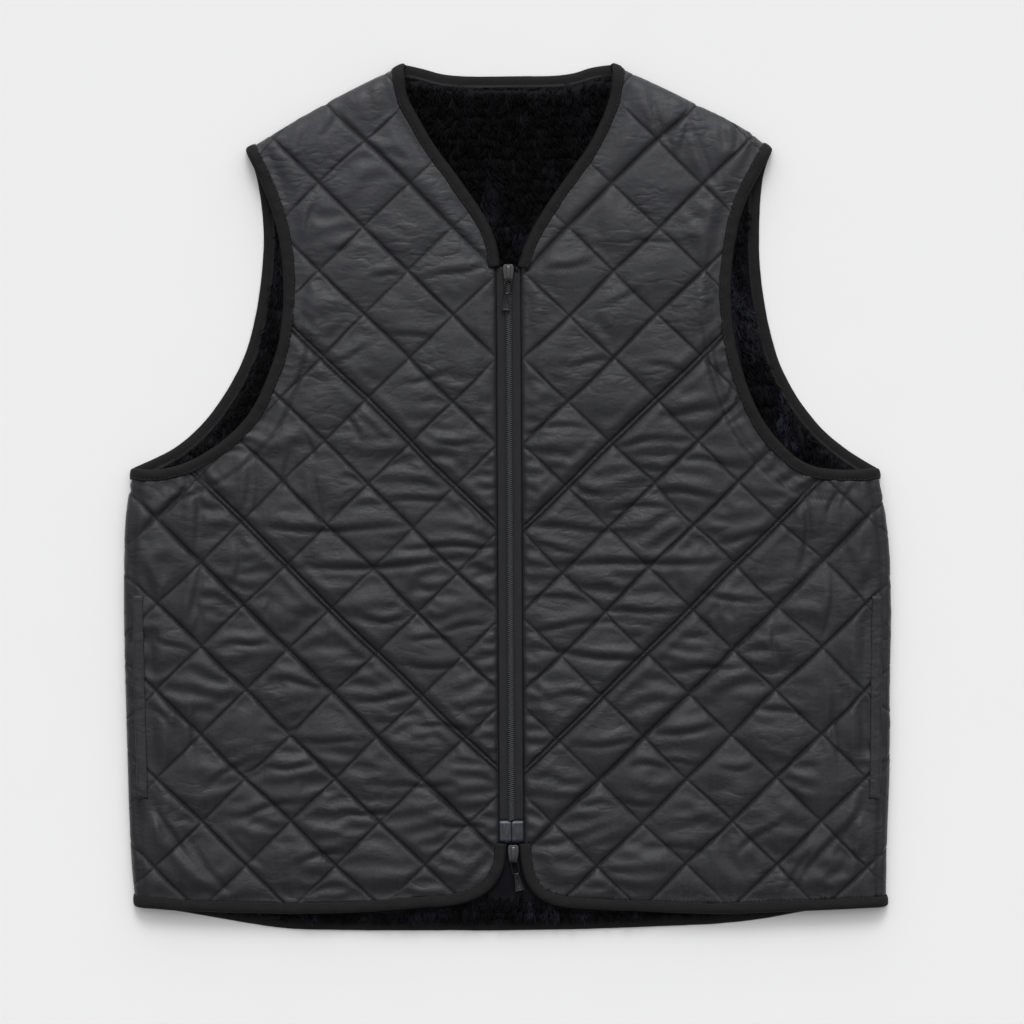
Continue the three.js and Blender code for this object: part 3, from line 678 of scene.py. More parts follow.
@contextmanager
def chosen(made: Piece, kind: str, test: Callable[[Vector, Vector], bool]) -> Iterator[None]:
    """Selects parts of a mesh in edit mode, and goes back to object mode afterwards.

    Args:
        made: the object.
        kind: VERT or FACE.
        test: takes a vertex's place or a face's centre, in millimetres, and its normal, and
            says whether it is selected.
    """
    select_only(made)
    bpy.ops.object.mode_set(mode="EDIT")
    bpy.ops.mesh.select_mode(type=kind)
    bpy.ops.mesh.select_all(action="DESELECT")
    bpy.ops.object.mode_set(mode="OBJECT")
    for part in made.data.vertices if kind == "VERT" else made.data.polygons:
        part.select = test((part.co if kind == "VERT" else part.center) / MM, part.normal)
    bpy.ops.object.mode_set(mode="EDIT")
    yield
    bpy.ops.object.mode_set(mode="OBJECT")


def rounded(made: Piece, width: float, segments: int = 2) -> Piece:
    """Rounds an object's sharp edges.

    Args:
        made: the object.
        width: of the bevel, in millimetres.
        segments: how many facets round each edge.

    Returns:
        The same object.
    """
    select_only(made)
    bevel = made.modifiers.new("rounded", "BEVEL")
    bevel.width = width * MM
    bevel.segments = segments
    bevel.limit_method = "ANGLE"
    bevel.angle_limit = SHARP_ANGLE
    bpy.ops.object.modifier_apply(modifier=bevel.name)
    return made


def combined(made: Piece, other: Piece, operation: str = "UNION") -> Piece:
    """Joins another object to one, or cuts it out.

    Args:
        made: the object that is changed.
        other: the object that is joined or cut out, and removed.
        operation: UNION or DIFFERENCE.

    Returns:
        The changed object.
    """
    select_only(made)
    boolean = made.modifiers.new("combined", "BOOLEAN")
    boolean.operation = operation
    boolean.solver = "EXACT"
    boolean.object = other
    bpy.ops.object.modifier_apply(modifier=boolean.name)
    bpy.data.objects.remove(other)
    return made


def block(name: str, size: Sequence[float], at: Sequence[float]) -> Piece:
    """A box to start a piece from.

    Args:
        name: the object's name.
        size: its three sides, in millimetres.
        at: its middle, in millimetres.

    Returns:
        The new object, its size and place in its mesh.
    """
    deselect()
    bpy.ops.mesh.primitive_cube_add(size=1, location=Vector(at) * MM, scale=Vector(size) * MM)
    return settle(name)


def rod(name: str, radius: float, length: float, sides: int = 32) -> Piece:
    """A round bar along x, its middle at the origin, to start a piece from.

    Args:
        name: the object's name.
        radius: in millimetres.
        length: in millimetres.
        sides: facets round it.

    Returns:
        The new object, its turn in its mesh.
    """
    deselect()
    bpy.ops.mesh.primitive_cylinder_add(
        vertices=sides, radius=radius * MM, depth=length * MM, rotation=(0, math.pi / 2, 0)
    )
    return settle(name)


# ---- Shader maths ----


class Channel:
    """A number in a shader, with operators that add Math nodes."""

    def __init__(self, shader: "Nodes", socket: Socket) -> None:
        """Wraps an output socket of a shader's node."""
        self.shader = shader
        self.socket = socket

    def __add__(self, other: object) -> "Channel":
        """Sum."""
        return self.shader.math("ADD", self, other)

    __radd__ = __add__

    def __sub__(self, other: object) -> "Channel":
        """Difference."""
        return self.shader.math("SUBTRACT", self, other)

    def __rsub__(self, other: object) -> "Channel":
        """Difference, from the right."""
        return self.shader.math("SUBTRACT", other, self)

    def __mul__(self, other: object) -> "Channel":
        """Product."""
        return self.shader.math("MULTIPLY", self, other)

    __rmul__ = __mul__

    def wave(self) -> "Channel":
        """Sine of the value."""
        return self.shader.math("SINE", self)

    def size(self) -> "Channel":
        """Absolute value."""
        return self.shader.math("ABSOLUTE", self)

    def at_most(self, limit: float) -> "Channel":
        """The value, or a limit where it is larger."""
        return self.shader.math("MINIMUM", self, limit)

    def at_least(self, limit: float) -> "Channel":
        """The value, or a limit where it is smaller."""
        return self.shader.math("MAXIMUM", self, limit)


class Nodes:
    """A node tree under construction."""

    def __init__(self, tree: bpy.types.NodeTree) -> None:
        """Takes the tree that nodes are added to."""
        self.tree = tree

    def node(self, kind: str, settings: dict | None = None, **sockets: object) -> bpy.types.Node:
        """Adds a node.

        Args:
            kind: the node's type.
            settings: its properties, set before its sockets.
            sockets: values or links by socket name, with _ for a space.

        Returns:
            The new node.
        """
        made = self.tree.nodes.new(kind)
        for key, value in (settings or {}).items():
            setattr(made, key, value)
        for key, value in sockets.items():
            self.feed(made.inputs[key.replace("_", " ")], value)
        return made

    def feed(self, socket: Socket, value: object) -> None:
        """Sets or links an input socket."""
        if isinstance(value, Channel):
            self.tree.links.new(value.socket, socket)
        elif isinstance(value, Socket):
            self.tree.links.new(value, socket)
        else:
            socket.default_value = value

    def math(self, operation: str, first: object, second: object = 0.0) -> Channel:
        """Adds a Math node on two values and gives its result."""
        made = self.node("ShaderNodeMath", {"operation": operation})
        self.feed(made.inputs[0], first)
        self.feed(made.inputs[1], second)
        return Channel(self, made.outputs[0])

    def steps(self, value: Channel, start: float, end: float) -> Channel:
        """Rises smoothly from 0 at the start to 1 at the end."""
        smooth = {"interpolation_type": "SMOOTHSTEP"}
        made = self.node(
            "ShaderNodeMapRange", smooth, Value=value, From_Min=start, From_Max=end
        )
        return Channel(self, made.outputs["Result"])


class Shader(Nodes):
    """A material under construction."""

    def __init__(self, name: str) -> None:
        """Starts a material with an empty Principled surface."""
        self.material = bpy.data.materials.new(name)
        self.material.use_nodes = True
        super().__init__(self.material.node_tree)
        self.surface = self.tree.nodes["Principled BSDF"]

    def place(self) -> Socket:
        """Object coordinates, in metres."""
        return self.node("ShaderNodeTexCoord").outputs["Object"]

    def axis(self, name: str) -> Channel:
        """One object coordinate, in millimetres."""
        parts = self.node("ShaderNodeSeparateXYZ", Vector=self.place())
        return Channel(self, parts.outputs[name]) * (1 / MM)

    def attribute(self, name: str) -> Channel:
        """A number stored at the mesh's points."""
        made = self.node("ShaderNodeAttribute", {"attribute_name": name})
        return Channel(self, made.outputs["Fac"])

    def noise(self, grain: Sequence[float], detail: float = 2.0, rough: float = 0.5) -> Channel:
        """Noise whose grain has a length along each axis, from about 0 to 1.

        Args:
            grain: three lengths in millimetres.
            detail: how many finer scales are added.
            rough: how strong they are.

        Returns:
            The noise's value.
        """
        scale = tuple(1 / (length * MM) for length in grain)
        spread = self.node("ShaderNodeMapping", Vector=self.place(), Scale=scale)
        made = self.node(
            "ShaderNodeTexNoise", Vector=spread.outputs["Vector"], Scale=1.0,
            Detail=detail, Roughness=rough,
        )
        return Channel(self, made.outputs["Fac"])

    def mix(self, first: object, second: object, share: object) -> Socket:
        """Mixes two colours.

        Args:
            first: a colour or a colour socket.
            second: the colour where the share is 1.
            share: from 0 to 1.

        Returns:
            The mixed colour's socket.
        """
        made = self.node("ShaderNodeMix", {"data_type": "RGBA"}, Factor=share)
        for socket, value in ((made.inputs[6], first), (made.inputs[7], second)):
            self.feed(socket, (*value, 1.0) if isinstance(value, tuple) else value)
        return made.outputs[2]

    def shaded(self, colour: Colour, least: float, most: float, share: Channel) -> Socket:
        """Mixes a colour times the least factor with the colour times the most."""
        return self.mix(*(tuple(v * factor for v in colour) for factor in (least, most)), share)

    def bump(self, height: Channel, depth: float, under: object = None) -> Socket:
        """Adds a relief.

        Args:
            height: from 0 to 1.
            depth: of the relief, in millimetres.
            under: a normal that it is added to.

        Returns:
            The normal's socket.
        """
        made = self.node("ShaderNodeBump", Height=height, Distance=depth * MM)
        if under is not None:
            self.feed(made.inputs["Normal"], under)
        return made.outputs["Normal"]

    def finish(self, **sockets: object) -> Material:
        """Sets the surface's sockets and gives the material."""
        for key, value in sockets.items():
            value = (*value, 1.0) if isinstance(value, tuple) and len(value) == 3 else value
            self.feed(self.surface.inputs[key.replace("_", " ")], value)
        return self.material


# ---- Finishes ----


@dataclass(frozen=True)
class ShellCloth:
    """Thin closely woven cloth with a dull waxy sheen and a faint vertical grain."""

    colour: Colour = (0.0152, 0.0155, 0.0182)
    # colour of the painted shade in the seams and under the bindings
    painted_seam_shade: Colour = (0.0022, 0.0022, 0.003)
    roughness: float = 0.49
    weave: float = 0.5  # between two threads
    wear_and_painted_light: float = 2.3  # how much lighter the cloth is painted towards the top and the left, a painted highlight of the light falling there

    def material(self) -> Material:
        """Builds the material."""
        s = Shader("shell_cloth")
        grain = s.noise((1.3, 34, 34), 3)
        blotch = s.noise((22, 30, 22), 3, 0.55)
        crinkle = s.noise((4.2, 6.5, 5), 4, 0.6)
        fine = s.noise((1.1, 1.4, 1.2), 3, 0.6)
        crumple = (s.noise((21, 10, 15), 2, 0.45) - 0.5).size().at_most(0.15)
        loose = s.steps(s.noise((34, 28, 30), 1), 0.4, 0.64)
        turn = 2 * math.pi / self.weave
        threads = (s.axis("X") * turn).wave() * (s.axis("Y") * turn).wave()
        seam = s.attribute("seam")
        painted_lit_colour = tuple(value * self.wear_and_painted_light for value in self.colour)
        tone = (grain * 0.5 + blotch * 0.5 - 0.5) * 1.9 + 0.5
        cloth = s.shaded(self.colour, 0.66, 1.4, tone.at_least(0.0).at_most(1.0))
        # painted light: the cloth is painted lighter towards the top and the left, where the light
        # falls, in blotches
        wear_and_painted_light = s.steps(s.axis("Y") - 0.25 * s.axis("X"), -60, 330) * (0.5 + blotch * 0.4)
        cloth = s.mix(cloth, painted_lit_colour, wear_and_painted_light.at_most(1.0))
        # painted shade: the cloth is painted darker in the seams' hollows, along the side line and
        # the armhole facing, and at the back's edge under the bindings
        colour = s.mix(cloth, self.painted_seam_shade, seam * 0.9)
        relief = s.bump(crinkle, 0.45)
        lively = s.steps(s.axis("Y"), -60, 200) * 0.4 + 0.6
        relief = s.bump(crumple * (loose * 0.75 + 0.25) * lively, 3.6, relief)
        relief = s.bump(fine, 0.09, relief)
        relief = s.bump(threads * 0.5 + 0.5, 0.012, relief)
        rough = (blotch - 0.5) * 0.3 + (grain - 0.5) * 0.22 + seam * 0.25 + self.roughness
        return s.finish(
            Base_Color=colour,
            Roughness=rough.at_least(0.28).at_most(0.9),
            Normal=relief,
            Sheen_Weight=0.03,
            Sheen_Roughness=0.4,
            Specular_IOR_Level=0.33,
        )


@dataclass(frozen=True)
class FurPile:
    """Near-black pile with a blue cast, whose lighter locks catch the light, as painted sheen
    towards the strands' tips.
    """

    root: Colour = (0.0003, 0.0003, 0.0007)
    tip_sheen: Colour = (0.034, 0.035, 0.052)

    def material(self) -> Material:
        """Builds the material."""
        s = Shader("fur_pile")
        soft = s.noise((2.2, 6, 2.2), 2)
        share = s.attribute("tip_sheen") * (soft * 1.2 + 0.3)
        return s.finish(
            Base_Color=s.mix(self.root, self.tip_sheen, share.at_most(1.0)),
            Roughness=0.6 + 0.2 * soft,
            Specular_IOR_Level=0.1,
        )


@dataclass(frozen=True)
class BindingTape:
    """Matt woven tape with fine ribs across it."""

    colour: Colour = (0.0085, 0.0087, 0.0085)
    ribs: float = 0.9  # between two ribs

    def material(self) -> Material:
        """Builds the material."""
        s = Shader("binding_tape")
        along, over = s.attribute("along"), s.attribute("over")
        turn = 2 * math.pi / self.ribs
        ribs = (along * turn).wave() * (over * turn).wave()
        soft = s.noise((7, 7, 7), 3)
        lint = s.noise((0.8, 0.8, 0.8), 2)
        tone = (soft - 0.5) * 1.6 + (lint - 0.5) * 0.5 + 0.5
        return s.finish(
            Base_Color=s.shaded(self.colour, 0.75, 1.35, tone.at_least(0.0).at_most(1.0)),
            Roughness=soft * 0.16 + 0.68,
            Normal=s.bump(soft, 0.5, s.bump(ribs * 0.5 + 0.5, 0.05)),
            Specular_IOR_Level=0.16,
        )


@dataclass(frozen=True)
class ZipTape:
    """Herringbone zip tape with a little sheen."""

    colour: Colour = (0.0105, 0.0108, 0.0122)
    zigzag: float = 1.6  # width of a zigzag
    rib: float = 0.8  # between two ribs

    def material(self) -> Material:
        """Builds the material."""
        s = Shader("zip_tape_weave")
        x, y = s.axis("X"), s.axis("Y")
        across, along = 2 * math.pi / self.zigzag, 2 * math.pi / self.rib
        chevron = ((x * across).wave() * 0.6 + y * along).wave()
        soft = s.noise((3, 12, 3), 3)
        return s.finish(
            Base_Color=s.shaded(self.colour, 0.7, 1.4, chevron * 0.18 + soft * 0.8),
            Roughness=soft * 0.2 + 0.55,
            Normal=s.bump(chevron * 0.5 + 0.5, 0.06),
            Specular_IOR_Level=0.25,
        )


@dataclass(frozen=True)
class CoilNylon:
    """Moulded nylon of the zip's coil."""

    colour: Colour = (0.02, 0.021, 0.024)

    def material(self) -> Material:
        """Builds the material."""
        s = Shader("coil_nylon")
        wear = s.noise((0.7, 0.7, 0.7), 2)
        return s.finish(
            Base_Color=s.shaded(self.colour, 1, 1.7, s.steps(wear, 0.45, 0.75)),
            Roughness=wear * 0.25 + 0.3,
            Normal=s.bump(wear, 0.03),
        )


@dataclass(frozen=True)
class Film:
    """Glossy film over the tape's end, bluish, with streaks of painted glint and the tape's weave
    pressed into it.
    """

    colour: Colour = (0.006, 0.008, 0.014)
    glint: Colour = (0.022, 0.028, 0.042)

    def material(self) -> Material:
        """Builds the material."""
        s = Shader("zip_film_gloss")
        # painted glint: lighter bluish streaks in the film's colour
        streak = s.steps(s.noise((2.2, 7, 2.2), 3, 0.6), 0.4, 0.68)
        weave = (s.axis("X") * 5.5).wave() * (s.axis("Y") * 5.5).wave()
        relief = s.bump(s.noise((2.4, 6, 2.4), 2), 0.35)
        return s.finish(
            Base_Color=s.mix(self.colour, self.glint, streak),
            Roughness=0.4 - streak * 0.12,
            Normal=s.bump(weave * 0.5 + 0.5, 0.02, relief),
            Coat_Weight=0.12,
            Coat_Roughness=0.2,
        )


@dataclass(frozen=True)
class PlatedMetal:
    """Black-plated zip metal, polished lighter where it is rubbed."""

    colour: Colour = (0.022, 0.022, 0.024)
    rubbed: Colour = (0.13, 0.13, 0.135)
    roughness: float = 0.36
    name: str = "plated_metal"

    def material(self) -> Material:
        """Builds the material."""
        s = Shader(self.name)
        wear = s.steps(s.noise((0.9, 2.4, 0.9), 4, 0.65), 0.52, 0.74)
        scratch = s.noise((0.12, 3.2, 0.4), 3, 0.6)
        return s.finish(
            Base_Color=s.mix(self.colour, self.rubbed, wear * 0.55),
            Roughness=scratch * 0.18 + (self.roughness - 0.09) - wear * 0.08,
            Normal=s.bump(scratch, 0.012),
            Metallic=0.88,
        )


@dataclass(frozen=True)
class Thread:
    """Fine sewing thread."""

    colour: Colour = (0.009, 0.0092, 0.01)

    def material(self) -> Material:
        """Builds the material."""
        s = Shader("sewing_thread")
        twist = ((s.axis("X") + s.axis("Y")) * 14).wave()
        return s.finish(
            Base_Color=s.shaded(self.colour, 1, 1.6, twist * 0.5 + 0.5),
            Roughness=0.6 - twist * 0.08,
            Specular_IOR_Level=0.3,
        )


# ---- Quilting ----


@dataclass(frozen=True)
class Quilting:
    """Two families of seams that cross in diamonds, mirrored on the quilting's axis."""

    axis: float = 2.6
    slope: float = 0.973  # tangent of the seams' angle
    fall_start: float = 47.6
    fall_pitch: float = 64.9  # between two seams, measured along the axis
    rise_start: float = -153.5
    rise_pitch: float = 62.63
    rise_ease: float = -5.3
    ease_period: float = 10.0
    falls: tuple[int, int] = (-6, 8)
    rises: tuple[int, int] = (-8, 8)
    side_length: float = 46.0  # of a diamond
    waver: float = 1.3  # how far a seam strays from its straight line
    waver_length: float = 48.0

    def plan(self, side: Side, fall: Array, rise: Array) -> Array:
        """Plan points of places counted in seams.

        Args:
            side: the half of the vest.
            fall: places between the seams that fall outwards.
            rise: places between the seams that rise outwards.

        Returns:
            Rows of x and y.
        """
        falling = self.fall_start + self.fall_pitch * fall
        eased = self.rise_ease * np.sin(2 * math.pi * rise / self.ease_period)
        rising = self.rise_start + self.rise_pitch * rise + eased
        away = (falling - rising) / (2 * self.slope)
        straight = np.column_stack([self.axis + side.value * away, (falling + rising) / 2])
        x, y = straight.T / self.waver_length
        return straight + self.waver * np.column_stack([noise(x, y) for noise in WAVER])

    def off_seam(self, count: Array) -> Array:
        """Distance to the nearest seam of a family, in millimetres."""
        return np.abs(count - np.round(count)) * self.side_length


WAVER = (Noise(20), Noise(21))
QUILTING = Quilting()


@dataclass(frozen=True)
class Crease:
    """A long crease in the cloth, below a soft ridge that is pushed up beside it."""

    x: float
    y: float
    reach: float
    width: float
    turn: float  # degrees
    depth: float

    def relief(self, at: Array) -> Array:
        """The crease's share of the cloth's height, in millimetres."""
        angle = math.radians(self.turn)
        x, y = at[:, 0] - self.x, at[:, 1] - self.y
        along = x * math.cos(angle) + y * math.sin(angle)
        off = y * math.cos(angle) - x * math.sin(angle)
        off = off + self.width * 0.4 * np.sin(along / self.reach * 2.2 + self.x)
        ends = np.exp(-1.2 * np.abs(along / self.reach) ** 3)
        w = self.width
        fold = 0.55 * bell(off - 1.2 * w, 1.1 * w) - 0.85 * bell(off, 0.52 * w)
        return self.depth * ends * (fold - 0.12 * bell(off + 1.3 * w, 1.2 * w))


# x, y, reach, width, turn and depth
CREASE_TABLE = {
    Side.LEFT: (
        (-130, -24, 43, 4.6, 0, 2.6), (-99, -51, 54, 5, 3, 3.0), (-46, -38, 28, 4.4, 0, 2.8),
        (-93, -92, 12, 3.4, 0, 1.8), (-59, -106, 15, 3.6, -3, 1.9), (-55, -126, 20, 4, 0, 2.0),
        (-34, -97, 14, 3.6, 4, 1.8), (-129, -182, 20, 4, -3, 1.9), (-187, 8, 24, 4, 88, 1.8),
        (-164, 20, 22, 4, 84, 1.6), (-141, -2, 26, 4, 96, 1.6), (-231, -15, 29, 5, 89, 2.6),
        (-232, -71, 27, 4.6, 84, 2.2), (-200, -46, 19, 4.4, 92, 2.0), (-177, -84, 10, 3.4, 90, 1.8),
        (-193, 11, 21, 4.4, 85, 2.2), (-257, -10, 30, 4.6, 47, 2.6), (-37, 168, 21, 3.8, 13, 2.6),
        (-91, 165, 11, 3.6, -5, 1.9), (-124, 186, 7, 3, 20, 1.6), (-147, 204, 16, 3.6, 72, 1.9),
        (-152, 262, 18, 4, 84, 1.7), (-130, 282, 16, 4, 60, 1.6), (-231, -90, 13, 4.4, 92, 2.4),
        (-248, -111, 13, 3.8, -25, 2.0), (-233, -173, 30, 3.6, 90, 1.3),
        (-194, -109, 12, 3.6, 4, 1.7), (-260, -161, 11, 3.4, -50, 1.6), (-161, -201, 15, 4, 0, 1.9),
        (-115, 52, 10, 3.4, -65, 1.9), (-148, 41, 13, 3.6, -75, 1.9), (-115, 13, 9, 3.4, -35, 1.8),
        (-26, -14, 12, 3, -55, 1.9), (-72, 120, 18, 3.8, -12, 1.7), (-60, 88, 16, 3.6, 8, 1.6),
        (-118, 105, 14, 3.6, 30, 1.5), (-70, -3, 22, 3.8, 4, 1.9), (-36, 40, 14, 3.4, 3, 1.7),
        (-92, -150, 20, 4, 5, 1.8), (-45, -172, 16, 3.8, -4, 1.8), (-150, -139, 18, 4, -8, 1.7),
        (-62, -215, 18, 4, 4, 1.8), (-104, -236, 17, 4, -6, 1.7), (-178, -232, 18, 4, 14, 1.7),
        (-240, -262, 34, 5, 130, 2.6), (-222, -276, 28, 4.4, 126, 2.2),
        (-262, -236, 24, 4, 112, 1.9), (-196, -262, 20, 4, 140, 1.6), (-35, -245, 16, 3.8, -8, 1.7),
        (-140, -268, 18, 4, 12, 1.6), (-208, -205, 16, 3.8, 38, 1.6),
    ),
    Side.RIGHT: (
        (94, -50, 58, 5, 3, 3.0), (131, 2, 21, 4.8, 0, 2.5), (50, -24, 30, 4, -2, 2.3),
        (64, -118, 36, 4.2, -5, 2.4), (101, -85, 29, 4.2, 3, 2.3), (135, 63, 21, 5, 2, 2.4),
        (99, -8, 20, 4.2, 2, 2.2), (58, 5, 12, 4, -22, 2.2), (38, -39, 14, 3.2, -8, 1.9),
        (36, -76, 20, 3.8, -3, 2.0), (48, -96, 26, 4.2, 6, 2.3), (165, -75, 22, 3.8, -8, 2.1),
        (222, -20, 24, 4.6, 88, 2.3), (244, -2, 13, 3.6, 62, 2.0), (231, 11, 9, 3, 75, 1.8),
        (256, 4, 12, 3.4, 52, 1.8), (49, -148, 12, 3.6, 0, 2.0), (71, -184, 21, 4.4, 2, 2.3),
        (134, -174, 22, 4.6, 5, 2.4), (132, -198, 12, 3.4, 0, 1.9), (106, -200, 14, 3.8, 0, 2.0),
        (67, -229, 11, 3.4, 0, 1.8), (95, -228, 14, 3.8, -3, 1.9), (171, -202, 12, 4, 4, 1.9),
        (150, 246, 24, 4, 118, 2.0), (168, 222, 20, 4, 122, 1.7), (112, 284, 20, 4, 112, 1.7),
        (132, 268, 12, 3.4, 80, 1.5), (45, 172, 20, 3.8, 12, 1.9), (84, 148, 16, 3.6, 18, 1.6),
        (110, 190, 14, 3.4, -12, 1.6), (60, 100, 18, 3.8, 4, 1.8), (118, 96, 16, 3.8, -12, 1.7),
        (42, 52, 16, 3.4, -4, 1.7), (98, 40, 20, 4, 6, 1.8), (150, 26, 16, 4, -6, 1.7),
        (180, -30, 18, 4, 10, 1.8), (200, -110, 20, 4, 100, 1.8), (240, -80, 22, 4, 84, 1.9),
        (150, -128, 20, 4, 6, 2.0), (205, -160, 18, 4, -12, 1.8), (244, -170, 22, 4, 96, 1.7),
        (238, -262, 34, 5, 52, 2.5), (218, -276, 26, 4.2, 56, 2.0), (258, -240, 22, 4, 66, 1.7),
        (188, -252, 20, 4, 38, 1.7), (130, -262, 18, 4, -10, 1.6), (40, -256, 16, 3.8, 8, 1.7),
    ),
}
CREASES = {side: [Crease(*row) for row in rows] for side, rows in CREASE_TABLE.items()}


@dataclass(frozen=True)
class Fade:
    """How much is left next to an edge, and how far the loss reaches."""

    least: float
    start: float
    reach: float

    def share(self, distance: Array) -> Array:
        """The share that is left at a distance from the edge."""
        return self.least + (1 - self.least) * ease(distance, self.start, self.start + self.reach)


@dataclass
class SlackCloth:
    """Cloth cut longer than the wadding under it, which settles into wrinkles between its seams."""

    columns: Array  # the points' column and row numbers on a lattice
    rows: Array
    rounds: int = 140
    bending: float = 0.16  # resistance to bends other than the wadding's own
    wadding: float = 0.002  # pull back to the wadding's surface
    sideways: float = 0.08  # pull back to the flat place

    def __post_init__(self) -> None:
        """Numbers the lattice."""
        shape = (self.columns.max() + 3, self.rows.max() + 3)
        self.numbers = np.full(shape, -1)
        self.numbers[self.columns, self.rows] = np.arange(len(self.columns))

    def neighbour(self, right: int, up: int) -> Array:
        """Numbers of the points a step away, or the point's own where there is none."""
        column, row = self.columns + right, self.rows + up
        found = self.numbers[np.maximum(column, 0), np.maximum(row, 0)]
        missing = (found < 0) | (column < 0) | (row < 0)
        return np.where(missing, np.arange(len(found)), found)

    def threads(self, lying: Array, slack: Array, held: Array) -> list[tuple[Array, ...]]:
        """The cloth's threads, in groups in which no point comes twice.

        Args:
            lying: the points where the cloth lies smoothly on the wadding.
            slack: extra length along x and y at each point, as shares.
            held: which points are sewn down.

        Returns:
            For each group the threads' two ends, their lengths and their ends' shares of a move.
        """
        free = np.where(held, 0.0, 1.0)
        groups = []
        for right, up in ((1, 0), (0, 1), (1, 1), (1, -1)):
            other = self.neighbour(right, up)
            parity = (self.columns if right else self.rows) % 2
            for half in (0, 1):
                a = np.flatnonzero((other != np.arange(len(other))) & (parity == half))
                b = other[a]
                total = free[a] + free[b]
                a, b, total = a[total > 0], b[total > 0], total[total > 0]
                span = lying[b] - lying[a]
                span[:, :2] *= 1 + (slack[a] + slack[b]) / 2
                shares = ((free[end] / total)[:, None] for end in (a, b))
                groups.append((a, b, np.linalg.norm(span, axis=1), *shares))
        return groups

    def settle(self, lying: Array, push: Array, slack: Array, held: Array) -> Array:
        """Lets the cloth find its length.

        Args:
            lying: the points where the cloth lies smoothly on the wadding.
            push: how far each point is lifted to begin with.
            slack: extra length along x and y at each point, as shares.
            held: which points are sewn down.

        Returns:
            The settled points.
        """
        point = lying.copy()
        point[:, 2] += np.where(held, 0, push)
        groups = self.threads(lying, slack, held)
        around = [self.neighbour(*way) for way in ((1, 0), (-1, 0), (0, 1), (0, -1))]
        free = ~held
        for _ in range(self.rounds):
            for a, b, length, share_a, share_b in groups:
                span = point[b] - point[a]
                here = np.sqrt(np.einsum("ij,ij->i", span, span))
                change = ((here - length) / here * 0.9)[:, None] * span
                point[a] += change * share_a
                point[b] -= change * share_b
            off = point[:, 2] - lying[:, 2]
            bend = sum(off[n] for n in around) / 4 - off
            unbend = bend - sum(bend[n] for n in around) / 4
            point[free, 2] += (self.bending * unbend - self.wadding * off)[free]
            point[free, :2] += self.sideways * (lying - point)[free, :2]
        return point


def least(distances: dict[str, Array], *names: str) -> Array:
    """The smallest of the named distances at each point."""
    return np.minimum.reduce([distances[name] for name in names])


